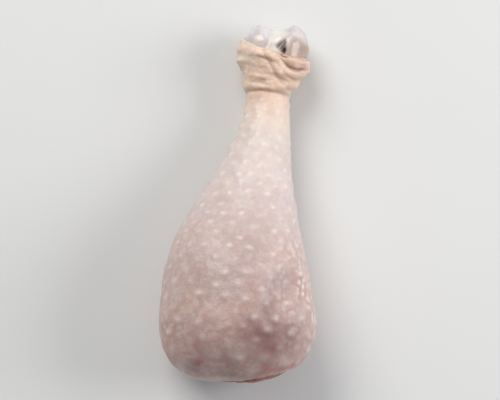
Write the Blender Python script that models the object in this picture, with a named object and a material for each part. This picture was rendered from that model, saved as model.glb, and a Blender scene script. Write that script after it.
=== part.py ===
"""A raw chicken drumstick lying on its side, as three nested solids.

skin: the sleeve of skin and fat, open at the cut knee end and at the ankle.
meat: the muscle inside it, which shows at the knee end and runs to the ankle.
leg_bone: the bone through the meat, with its gristle head at the knee and its
two-lobed knuckle at the ankle.

+Y runs from the cut knee end to the ankle knuckle, +X is the shin side, -X the
calf side and +Z is up. The origin is on the resting plane, at the middle of the
outline. Sizes below are millimetres, along is the distance from the knee end and
angle runs round the leg from the shin side over the top.
"""

import math

import bmesh
import bpy
import numpy as np
from mathutils import Matrix

MM = 0.001

# The skin's outside. Each row is one cross-section: distance along, height of the
# spine, then how far the surface lies from the spine on the shin side, on the calf
# side, above and below.
SKIN_SECTIONS = (
    (0.0, 21.5, 26.5, 31.0, 23.0, 25.0),
    (22.0, 21.6, 25.8, 31.2, 24.4, 26.6),
    (36.0, 21.3, 23.2, 31.0, 24.2, 26.0),
    (50.0, 20.2, 19.2, 28.6, 21.8, 22.6),
    (65.0, 18.3, 14.8, 22.4, 17.2, 16.8),
    (80.0, 15.5, 11.4, 15.0, 12.6, 11.4),
    (95.0, 12.9, 9.4, 9.8, 9.2, 8.0),
    (105.0, 11.9, 8.3, 8.3, 7.8, 7.1),
    (113.0, 11.5, 10.8, 10.4, 9.4, 9.2),
    (120.0, 11.3, 14.1, 13.3, 11.0, 11.6),
    (128.0, 11.2, 13.4, 12.8, 10.0, 11.2),
)
UPPER_ROUNDNESS = 2.0  # superellipse exponents of a section's two halves
LOWER_ROUNDNESS = 2.3
KNEE_CAP_LENGTH = 24.0  # the knee end rounds off over this length
KNEE_CAP_ROUNDNESS = 2.25  # superellipse exponent of that rounding
KNEE_CAP_CALF_EXTRA = 0.18  # blunter by this on the calf side and sharper on the shin side
FLOOR_BLEND = 1.6  # how softly the leg curves into its flat resting spot
FLOOR_PRESS = 0.3

# Swells and dents of the skin: height, then centre and reach along the leg, and
# centre and reach round it in radians.
SKIN_SWELLS = (
    (-0.9, 34.0, 15.0, 1.10, 0.32),
    (0.7, 30.0, 17.0, 0.35, 0.35),
    (0.6, 52.0, 18.0, 2.40, 0.50),
    (-0.7, 64.0, 22.0, 3.75, 0.30),
    (-1.2, 119.4, 1.1, 0.55, 0.45),
)
CREASE_ALONG = 107.6  # where the bunched cuff of skin starts, as a dent and a step
CREASE_TILT = 0.9
CREASE_DEPTH = 0.6
CREASE_STEP = 0.5
CUFF_SPAN = (107.0, 113.0, 119.0, 124.0)  # its folds rise, hold and die out over these
CUFF_FOLD_HEIGHT = 0.42
CUFF_ROLL_HEIGHT = 0.9  # the rolled rim near the ankle edge, highest on the calf side
CUFF_ROLL_SETBACK = 2.6
CUFF_ROLL_WIDTH = 2.0

SKIN_THICKNESS = 1.8
SKIN_EDGE_ROUNDING = 0.7
ANKLE_EDGE_ALONG = 124.0
ANKLE_EDGE_TILT = 2.4  # the edge reaches further on the calf side than on the shin side
ANKLE_EDGE_NOTCH = 1.2  # and draws back on top
ANKLE_EDGE_WAVE = 0.4
KNEE_EDGE_WAVES = ((0.4, 3, 0.6), (0.2, 5, 0.0))  # height, count and phase

# The slanting cut through the knee, and the meat that swells out of it.
CUT_TOP_ALONG = 3.4
CUT_TOP_HEIGHT = 35.0
CUT_LEAN = 0.34  # how much further along the cut is for each millimetre down
CUT_TURN = 0.1  # and for each millimetre towards the shin side
MEAT_SWELL = 7.6
MEAT_MOUTH_DIP = 1.2  # the meat draws back where it meets the bone

# The leg bone: distance along, half-width and half-height.
BONE_SECTIONS = (
    (10.0, 9.4, 7.4),
    (18.0, 8.4, 6.8),
    (28.0, 5.8, 5.2),
    (42.0, 4.2, 4.0),
    (75.0, 3.7, 3.5),
    (97.0, 4.1, 3.7),
    (107.0, 5.0, 4.4),
    (114.0, 8.3, 6.8),
    (120.0, 11.6, 8.8),
    (126.0, 12.5, 9.2),
)
BONE_KNEE = (-2.0, 15.4)  # the bone's centre across and up at its knee head
BONE_ANKLE = (0.6, 11.3)
HEAD_ALONG = BONE_SECTIONS[0][0]
HEAD_TIP = 1.4
HEAD_DIMPLE = 1.0  # depth of the hollow between the head's two facets
KNUCKLE_ALONG = BONE_SECTIONS[-1][0]  # the knuckle rounds off beyond this
# Its two lobes with the valley between them: distance across, length beyond that.
KNUCKLE_PROFILE = (
    (-12.5, 0.0),
    (-11.4, 3.2),
    (-9.4, 5.9),
    (-6.2, 7.6),
    (-2.6, 6.9),
    (0.0, 6.1),
    (2.8, 7.0),
    (6.6, 9.0),
    (9.8, 7.2),
    (11.6, 4.2),
    (12.5, 0.0),
)
GROOVE_CENTRE = 0.4  # the groove that parts the lobes above and below
GROOVE_DEPTH = 1.9
GROOVE_WIDTH = 3.4

GAP = 0.35  # clearance of the skin from the meat and the bone
BONE_GAP = 0.45
MEAT_END_STEP = 0.76  # the meat stops at this share of the sleeve's length
ANKLE_FIT_STEP = 0.84  # and here the sleeve has closed round the bone

# How finely the solids are divided: sides round the leg and the bone, shares of the
# sleeve's length outside and inside, shares of the cut face from its rim to the bone,
# and shares of the bone's ends from their rims to their middles.
SEGMENTS = 44
BONE_SEGMENTS = 36
OUTER_STEPS = np.concatenate(
    [np.linspace(0, 0.05, 4)[:-1], np.linspace(0.05, 0.76, 22)[:-1], np.linspace(0.76, 1, 22)]
)
INNER_STEPS = np.concatenate(
    [np.linspace(0, 0.05, 3)[:-1], np.linspace(0.05, MEAT_END_STEP, 13), np.linspace(ANKLE_FIT_STEP, 1, 7)]
)
MEAT_STEPS = INNER_STEPS[: np.searchsorted(INNER_STEPS, MEAT_END_STEP, side="right")]
CUT_FACE_STEPS = (0.06, 0.2, 0.4, 0.6, 0.8, 0.95, 1.0)
CHANNEL_STEPS = (11.0, 18.0, 24.0, 32.0, 44.0, 62.0, 80.0)
SHAFT_STEPS = np.concatenate(
    [np.linspace(HEAD_ALONG, 28, 5), np.linspace(42, 98, 5), np.linspace(103, KNUCKLE_ALONG, 11)]
)
HEAD_TURNS = np.radians((14, 30, 48, 66))
KNUCKLE_STEPS = (0.99, 0.96, 0.91, 0.84, 0.75, 0.65, 0.54, 0.42, 0.3, 0.18, 0.08)

SKIN_LOOK = ((0.78, 0.60, 0.52), 0.42)  # colour and roughness
MEAT_LOOK = ((0.62, 0.25, 0.23), 0.35)
BONE_LOOK = ((0.78, 0.74, 0.76), 0.30)


def smooth_through(x, knots, values):
    """Values at x of a smooth curve through the knots that never overshoots them."""
    knots, values = np.asarray(knots, float), np.asarray(values, float)
    widths = np.diff(knots)
    slopes = np.diff(values) / widths
    tangents = np.zeros_like(values)
    turning = slopes[:-1] * slopes[1:] <= 0
    before = 2 * widths[1:] + widths[:-1]
    after = widths[1:] + 2 * widths[:-1]
    with np.errstate(divide="ignore", invalid="ignore"):
        inner = (before + after) / (before / slopes[:-1] + after / slopes[1:])
    tangents[1:-1] = np.where(turning, 0.0, inner)
    tangents[0], tangents[-1] = slopes[0], slopes[-1]
    x = np.clip(x, knots[0], knots[-1])
    span = np.clip(np.searchsorted(knots, x, side="right") - 1, 0, len(widths) - 1)
    t = (x - knots[span]) / widths[span]
    start, end = values[span], values[span + 1]
    lead, trail = tangents[span] * widths[span], tangents[span + 1] * widths[span]
    return (
        start * (1 + 2 * t) * (1 - t) ** 2
        + lead * t * (1 - t) ** 2
        + end * t * t * (3 - 2 * t)
        + trail * t * t * (t - 1)
    )


def fade(x, low, high):
    """0 at low, 1 at high and smooth between them."""
    t = np.clip((x - low) / (high - low), 0, 1)
    return t * t * (3 - 2 * t)


def hill(x, centre, width):
    """A bell curve of height 1."""
    return np.exp(-(((x - centre) / width) ** 2))


def hill_round(angle, centre, width):
    """A bell curve of height 1 round the leg."""
    return hill((angle - centre + math.pi) % (2 * math.pi), math.pi, width)


def columns(sections, along):
    """Every column of a table of sections after the first, at the distances along."""
    table = np.array(sections).T
    return [smooth_through(along, table[0], column) for column in table[1:]]


def rounded_end(along, exponent, depth):
    """Share of the full section at a distance from the knee end, for a layer at that depth."""
    left = np.clip(1 - (along - depth) / (KNEE_CAP_LENGTH - depth), 0, 1)
    return (1 - left**exponent) ** (1 / exponent)


def rest_on_floor(height, depth):
    """Presses what would reach below the resting plane flat, for a layer at that depth."""
    above = height - depth
    pressed = 0.5 * (above + np.sqrt(above**2 + FLOOR_BLEND**2)) - FLOOR_PRESS
    return depth + np.maximum(pressed, 0)


def leg_point(along, angle, depth):
    """x and z of the leg's surface, or of a layer at a depth under it."""
    height, shin, calf, top, under = columns(SKIN_SECTIONS, along)
    to_shin, to_top = np.cos(angle), np.sin(angle)
    exponent = KNEE_CAP_ROUNDNESS - KNEE_CAP_CALF_EXTRA * to_shin
    share = rounded_end(along, exponent, np.maximum(depth, 0))
    across = (np.where(to_shin >= 0, shin, calf) - depth) * share
    up = (np.where(to_top >= 0, top, under) - depth) * share
    power = 2 / np.where(to_top >= 0, UPPER_ROUNDNESS, LOWER_ROUNDNESS)
    x = across * np.sign(to_shin) * np.abs(to_shin) ** power
    z = height + up * np.sign(to_top) * np.abs(to_top) ** power
    return x, rest_on_floor(z, np.maximum(depth, 0))


def bone_axis(along):
    """The bone's centre across and up at the distances along."""
    share = (along - HEAD_ALONG) / (KNUCKLE_ALONG - HEAD_ALONG)
    return [knee + (ankle - knee) * share for knee, ankle in zip(BONE_KNEE, BONE_ANKLE)]


def groove_depth(x):
    """Depth of the knuckle's groove at a distance across from the bone's centre."""
    return GROOVE_DEPTH * hill(x, GROOVE_CENTRE, GROOVE_WIDTH)


def bone_point(along, angle, clearance, grooved=False):
    """x and z of the bone's surface, or of the space that it needs."""
    across, up = bone_axis(along)
    half_width, half_height = columns(BONE_SECTIONS, along)
    x = (half_width + clearance) * np.cos(angle)
    z = (half_height + clearance) * np.sin(angle)
    if grooved:
        z = z - groove_depth(x) * fade(along, 112, 122) * np.sin(angle)
    return across + x, np.maximum(up + z, clearance)


def cut_along(x, z):
    """Distance along of the cut's plane."""
    return CUT_TOP_ALONG + CUT_LEAN * np.maximum(CUT_TOP_HEIGHT - z, 0) + CUT_TURN * x


def knee_edge(angle):
    """Distance along of the skin's cut edge, where the leg meets the cut, with a slight wave."""
    along = np.full_like(angle, CUT_TOP_ALONG)
    for _ in range(30):
        x, z = leg_point(along, angle, 0.0)
        along = 0.5 * (along + cut_along(x, z))
    return along + sum(height * np.sin(count * angle + phase) for height, count, phase in KNEE_EDGE_WAVES)


def ankle_edge(angle):
    """Distance along of the skin's edge at the ankle."""
    notch = ANKLE_EDGE_NOTCH * hill(np.sin(angle), 1, 0.5)
    return ANKLE_EDGE_ALONG - ANKLE_EDGE_TILT * np.cos(angle) - notch + ANKLE_EDGE_WAVE * np.sin(3 * angle)


def cuff_relief(along, angle):
    """Height of the bunched cuff's crossing folds and of its rolled rim."""
    rise, hold, sink, end = CUFF_SPAN
    cuff = fade(along, rise, hold) * (1 - fade(along, sink, end))
    folds = np.sin(0.9 * along + 2 * angle + 1.5) + 0.7 * np.sin(1.35 * along - 3 * angle)
    calf_side = 0.35 + 0.65 * hill(np.cos(angle), -0.4, 0.6)
    roll = hill(along, ankle_edge(angle) - CUFF_ROLL_SETBACK, CUFF_ROLL_WIDTH) * calf_side
    return CUFF_FOLD_HEIGHT * cuff * folds + CUFF_ROLL_HEIGHT * roll


def skin_relief(along, angle):
    """Height of the skin's swells, folds, dents and creases above the smooth leg."""
    past_crease = along - CREASE_ALONG - CREASE_TILT * np.sin(angle - 0.4)
    step = CREASE_STEP * fade(past_crease, -0.2, 1.6) * (1 - fade(past_crease, 1.6, 6))
    relief = cuff_relief(along, angle) + step - CREASE_DEPTH * hill(past_crease, -0.6, 1.1)
    for height, centre, reach, turn, turn_reach in SKIN_SWELLS:
        relief = relief + height * hill(along, centre, reach) * hill_round(angle, turn, turn_reach)
    return relief


def sleeve_along(step, angle):
    """Distance along of a share of the way from the knee edge to the ankle edge."""
    knee = knee_edge(angle)
    return knee + (ankle_edge(angle) - knee) * step


def ring(x, along, z):
    """One ring of points in metres, measured from the spine at the knee end."""
    return np.stack([x, np.broadcast_to(along, np.shape(x)), z], axis=-1) * MM


def ring_angles(count):
    """Angles round the leg, anticlockwise as seen from the knee."""
    return np.linspace(0, 2 * math.pi, count, endpoint=False)


def skin_rings():
    """The sleeve's closed run of rings: outside, then back inside from ankle to knee."""
    angle = ring_angles(SEGMENTS)
    rings = []
    for step in OUTER_STEPS:
        along = sleeve_along(step, angle)
        end_round = SKIN_EDGE_ROUNDING * (fade(step, 0.02, 0.0) + fade(step, 0.988, 1.0))
        x, z = leg_point(along, angle, end_round - skin_relief(along, angle))
        rings.append(ring(x, along, z))
    for step in INNER_STEPS[::-1]:
        along = sleeve_along(step, angle)
        under_skin = leg_point(along, angle, SKIN_THICKNESS)
        round_bone = bone_point(along, angle, GAP)
        share = fade(step, MEAT_END_STEP, ANKLE_FIT_STEP)
        x, z = [skin + (bone - skin) * share for skin, bone in zip(under_skin, round_bone)]
        rings.append(ring(x, along, z))
    return rings


def cut_face_rings(angle, depth):
    """Rings of the meat's face, swelling out of the cut from its rim to the bone."""
    rim_along = sleeve_along(0.0, angle)
    rim = np.array(leg_point(rim_along, angle, depth))
    mouth = np.array(bone_point(np.full_like(angle, HEAD_ALONG), angle, BONE_GAP))
    rings = []
    for inward in CUT_FACE_STEPS:
        x, z = rim + (mouth - rim) * inward
        along = rim_along + (cut_along(x, z) - rim_along) * fade(inward, 0, 0.5)
        swell = MEAT_SWELL * (1 - (1 - inward) ** 2) - MEAT_MOUTH_DIP * fade(inward, 0.8, 1.0)
        rings.append(ring(x, along - swell, z))
    return rings


def meat_rings():
    """The meat's closed run of rings: outside, cut face, then the bone's channel."""
    angle = ring_angles(SEGMENTS)
    depth = SKIN_THICKNESS + GAP
    rings = []
    for step in MEAT_STEPS[::-1]:
        along = sleeve_along(step, angle)
        x, z = leg_point(along, angle, depth)
        rings.append(ring(x, along, z))
    rings.extend(cut_face_rings(angle, depth))
    channel = [np.full_like(angle, along) for along in CHANNEL_STEPS]
    for along in (*channel, sleeve_along(MEAT_END_STEP, angle)):
        x, z = bone_point(along, angle, BONE_GAP)
        rings.append(ring(x, along, z))
    return rings


def knuckle_end(x, z):
    """Distance along of the knuckle's two-lobed end."""
    across, up = bone_axis(KNUCKLE_ALONG)
    half_width, half_height = BONE_SECTIONS[-1][1:]
    offset = x - across
    knots, lengths = np.array(KNUCKLE_PROFILE).T
    chord = np.sqrt(np.maximum(1 - (offset / half_width) ** 2, 1e-9))
    rise = (half_height - groove_depth(offset)) * chord
    rounded = np.sqrt(np.maximum(1 - ((z - up) / rise) ** 2, 0))
    return KNUCKLE_ALONG + smooth_through(offset, knots, lengths) * rounded


def towards(centre, point, share):
    """The point at a share of the way from a centre out to a point."""
    return [c + (p - c) * share for c, p in zip(centre, point)]


def bone_rings():
    """The bone's rings, from its knee head to its ankle knuckle, with the two end points."""
    angle = ring_angles(BONE_SEGMENTS)
    head_centre, knuckle_centre = bone_axis(HEAD_ALONG), bone_axis(KNUCKLE_ALONG)
    head_rim = bone_point(np.full_like(angle, HEAD_ALONG), angle, 0)
    knuckle_rim = bone_point(np.full_like(angle, KNUCKLE_ALONG), angle, 0, grooved=True)
    rings = []
    for turn in HEAD_TURNS:
        x, z = towards(head_centre, head_rim, math.sin(turn))
        dimple = HEAD_DIMPLE * hill(x, head_centre[0], 2.6) * hill(z, head_centre[1] + 3, 5)
        rings.append(ring(x, HEAD_ALONG - (HEAD_ALONG - HEAD_TIP) * math.cos(turn) + dimple, z))
    for along in SHAFT_STEPS:
        x, z = bone_point(np.full_like(angle, along), angle, 0, grooved=True)
        rings.append(ring(x, along, z))
    for share in KNUCKLE_STEPS:
        x, z = towards(knuckle_centre, knuckle_rim, share)
        rings.append(ring(x, knuckle_end(x, z), z))
    head_x, head_z = map(np.array, head_centre)
    knuckle_x, knuckle_z = map(np.array, knuckle_centre)
    tips = [
        ring(head_x, HEAD_TIP + 0.6 * HEAD_DIMPLE, head_z),
        ring(knuckle_x, knuckle_end(knuckle_x, knuckle_z), knuckle_z),
    ]
    return rings, tips


def plain_material(name, colour, roughness):
    """A moist food surface in one colour."""
    material = bpy.data.materials.new(name)
    material.use_nodes = True
    shader = material.node_tree.nodes["Principled BSDF"]
    shader.inputs["Base Color"].default_value = (*colour, 1)
    shader.inputs["Roughness"].default_value = roughness
    shader.inputs["Metallic"].default_value = 0
    return material


def solid_from_rings(name, look, rings, tips=None):
    """Joins neighbouring rings with faces, the last ring to the first or each end to its tip."""
    mesh = bmesh.new()
    rows = [[mesh.verts.new(point) for point in points] for points in rings]
    pairs = list(zip(rows, rows[1:]))
    if tips is None:
        pairs.append((rows[-1], rows[0]))
    count = len(rows[0])
    for row, after in pairs:
        for i in range(count):
            j = (i + 1) % count
            mesh.faces.new((row[i], row[j], after[j], after[i]))
    if tips is not None:
        first, last = (mesh.verts.new(tip) for tip in tips)
        for i in range(count):
            j = (i + 1) % count
            mesh.faces.new((rows[0][j], rows[0][i], first))
            mesh.faces.new((rows[-1][i], rows[-1][j], last))
    bmesh.ops.recalc_face_normals(mesh, faces=mesh.faces)
    data = bpy.data.meshes.new(name)
    mesh.to_mesh(data)
    mesh.free()
    data.shade_smooth()
    data.materials.append(plain_material(name, *look))
    solid = bpy.data.objects.new(name, data)
    bpy.context.scene.collection.objects.link(solid)
    return solid


def centre_outline(solids):
    """Moves the meshes so that the outline's middle is at x 0, y 0."""
    corners = [vertex.co for solid in solids for vertex in solid.data.vertices]
    middle = [(min(c[k] for c in corners) + max(c[k] for c in corners)) / 2 for k in (0, 1)]
    for solid in solids:
        solid.data.transform(Matrix.Translation((-middle[0], -middle[1], 0)))


def main():
    """Builds the drumstick's three solids."""
    for old in list(bpy.data.objects):
        bpy.data.objects.remove(old)
    skin = solid_from_rings("skin", SKIN_LOOK, skin_rings())
    meat = solid_from_rings("meat", MEAT_LOOK, meat_rings())
    leg_bone = solid_from_rings("leg_bone", BONE_LOOK, *bone_rings())
    centre_outline([skin, meat, leg_bone])


main()
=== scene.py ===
"""The looks of a raw chicken drumstick that lies on its side.

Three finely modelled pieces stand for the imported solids: the sleeve of skin with
its follicle bumps and bunched cuff, the meat that swells out of the knee cut, and
the leg bone with its gristle ends. Fat along the cut, the torn tissue inside the
cuff and the cut tendons are pieces of their own.

Sizes are millimetres: along is the distance from the knee end, across is to the
shin side, and angle runs round the leg from the shin side over the top.
"""

from __future__ import annotations

import logging
import math
from dataclasses import dataclass
from enum import Enum
from typing import Any, Sequence

import bpy
import numpy as np
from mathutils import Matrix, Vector


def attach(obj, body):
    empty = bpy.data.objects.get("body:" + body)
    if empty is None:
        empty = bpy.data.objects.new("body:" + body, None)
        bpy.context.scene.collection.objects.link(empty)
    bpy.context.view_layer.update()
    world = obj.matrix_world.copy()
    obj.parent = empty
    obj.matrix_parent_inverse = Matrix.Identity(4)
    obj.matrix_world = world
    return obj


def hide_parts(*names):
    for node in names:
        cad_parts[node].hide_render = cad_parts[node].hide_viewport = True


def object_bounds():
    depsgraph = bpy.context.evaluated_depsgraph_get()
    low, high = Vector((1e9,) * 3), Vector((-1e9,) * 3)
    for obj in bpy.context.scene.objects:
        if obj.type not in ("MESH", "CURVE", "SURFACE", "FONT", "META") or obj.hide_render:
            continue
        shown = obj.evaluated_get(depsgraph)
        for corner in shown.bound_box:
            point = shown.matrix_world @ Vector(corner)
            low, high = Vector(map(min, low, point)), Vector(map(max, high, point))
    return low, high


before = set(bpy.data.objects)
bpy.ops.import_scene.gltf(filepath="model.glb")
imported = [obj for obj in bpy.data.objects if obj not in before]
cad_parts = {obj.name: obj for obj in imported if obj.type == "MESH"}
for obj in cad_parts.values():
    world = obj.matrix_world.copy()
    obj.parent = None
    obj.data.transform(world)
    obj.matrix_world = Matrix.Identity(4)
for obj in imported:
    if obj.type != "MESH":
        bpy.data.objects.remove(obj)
CAD_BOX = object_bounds()

log = logging.getLogger("drumstick")

Array = np.ndarray
Colour = tuple[float, float, float]
Table = tuple[tuple[float, ...], ...]
Socket = bpy.types.NodeSocket
Material = bpy.types.Material

MM = 0.001
BODY = "root"
QUARTER = 0.5 * math.pi
ROUND = 2 * math.pi


class Slot(Enum):
    """The names of the material slots."""

    SKIN = "skin"
    MEAT = "meat"
    BONE = "bone"


class Mask(Enum):
    """What a mesh tells its material about each point, from 0 to 1."""

    FOLLICLE = "follicle"
    # How far a point lies in creases, grooves or pits, which its material darkens as painted shade.
    CREASE_SHADE = "crease_shade"
    FAT = "fat"
    # Bruised skin, and painted shade in the calf's valley and towards the knee end.
    BRUISE_AND_SHADE = "bruise_and_shade"
    # Grains of fat, whose pale tops are partly a painted highlight.
    CURD = "curd"
    FASCIA = "fascia"
    TENDON = "tendon"
    # Stains, and painted shade at the knee rim's dark edge and on the knuckle and head.
    STAIN_AND_SHADE = "stain_and_shade"


Masks = dict[Mask, Array]
Tint = tuple[Mask, Colour, float]


@dataclass(frozen=True)
class Patches:
    """Soft patches of another colour: how many to a metre, how few, how blurred and how strong."""

    tint: Colour
    per_metre: float
    threshold: float
    softness: float
    strength: float


def smooth_through(x: Array, knots: Sequence[float], values: Sequence[float]) -> Array:
    """A smooth curve through knots that never overshoots them.

    Args:
        x: Where the curve is read.
        knots: Rising places of the knots.
        values: The curve's value at each knot.

    Returns:
        The curve's values at x.
    """
    places, heights = np.asarray(knots, float), np.asarray(values, float)
    widths = np.diff(places)
    slopes = np.diff(heights) / widths
    tangents = np.zeros_like(heights)
    turning = slopes[:-1] * slopes[1:] <= 0
    before = 2 * widths[1:] + widths[:-1]
    after = widths[1:] + 2 * widths[:-1]
    with np.errstate(divide="ignore", invalid="ignore"):
        inner = (before + after) / (before / slopes[:-1] + after / slopes[1:])
    tangents[1:-1] = np.where(turning, 0.0, inner)
    tangents[0], tangents[-1] = slopes[0], slopes[-1]
    x = np.clip(x, places[0], places[-1])
    span = np.clip(np.searchsorted(places, x, side="right") - 1, 0, len(widths) - 1)
    t = (x - places[span]) / widths[span]
    start, end = heights[span], heights[span + 1]
    lead, trail = tangents[span] * widths[span], tangents[span + 1] * widths[span]
    return (
        start * (1 + 2 * t) * (1 - t) ** 2
        + lead * t * (1 - t) ** 2
        + end * t * t * (3 - 2 * t)
        + trail * t * t * (t - 1)
    )


def fade(x: Array, low: float, high: float) -> Array:
    """0 at low, 1 at high and smooth between them."""
    t = np.clip((x - low) / (high - low), 0, 1)
    return t * t * (3 - 2 * t)


def hill(x: Array, centre: float | Array, width: float) -> Array:
    """A bell curve of height 1."""
    return np.exp(-(((x - centre) / width) ** 2))


def hill_round(angle: Array, centre: float, width: float) -> Array:
    """A bell curve of height 1 round the leg."""
    return hill((angle - centre + math.pi) % ROUND, math.pi, width)


def chance(*numbers: Array | int) -> Array:
    """A repeatable value from 0 to 1 for each set of whole numbers.

    Args:
        *numbers: Up to four whole numbers or arrays of them.

    Returns:
        The values.
    """
    mixed = np.int64(0)
    for number, factor in zip(numbers, (374761393, 668265263, 1440662683, 1274126177)):
        mixed = mixed + np.asarray(number, np.int64) * factor
    mixed = (mixed ^ (mixed >> 13)) & 0x7FFFFFFF
    mixed = (mixed * 1274126177) & 0xFFFFFFFF
    return ((mixed ^ (mixed >> 16)) & 0xFFFF) / 65535.0


def cloud(points: Array, size: float, salt: int = 0, octaves: int = 1) -> Array:
    """Smooth noise with lumps of a given size.

    Args:
        points: Places in millimetres, three numbers each.
        size: Distance between the largest lumps.
        salt: Picks another pattern.
        octaves: How many finer layers are added, each half as large and strong.

    Returns:
        A value from -1 to 1 for each point.
    """
    total, weight, weights = np.zeros(points.shape[:-1]), 1.0, 0.0
    for octave in range(octaves):
        grid = points * 2**octave / size
        cell = np.floor(grid).astype(np.int64)
        t = grid - cell
        t = t * t * (3 - 2 * t)
        value = np.zeros(points.shape[:-1])
        for corner in range(8):
            offset = np.array([corner & 1, (corner >> 1) & 1, (corner >> 2) & 1])
            share = np.prod(np.where(offset, t, 1 - t), axis=-1)
            place = cell + offset
            value += share * chance(place[..., 0], place[..., 1], place[..., 2], salt + octave)
        total += weight * (2 * value - 1)
        weights += weight
        weight *= 0.5
    return total / weights


def cells(u: Array, v: Array, size: float, salt: int = 0) -> tuple[Array, Array]:
    """Distances to the two nearest of scattered seeds, one to each square of a plane.

    Args:
        u: First coordinate in millimetres.
        v: Second coordinate.
        size: Side of the squares.
        salt: Picks another pattern.

    Returns:
        Nearest and second nearest distance, in squares.
    """
    u, v = u / size, v / size
    column, row = np.floor(u).astype(np.int64), np.floor(v).astype(np.int64)
    nearest, second = np.full(u.shape, 9.0), np.full(u.shape, 9.0)
    for step_u in (-1, 0, 1):
        for step_v in (-1, 0, 1):
            i, j = column + step_u, row + step_v
            distance = np.hypot(u - i - chance(i, j, salt), v - j - chance(i, j, salt + 17))
            second = np.minimum(second, np.maximum(nearest, distance))
            nearest = np.minimum(nearest, distance)
    return nearest, second


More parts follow.
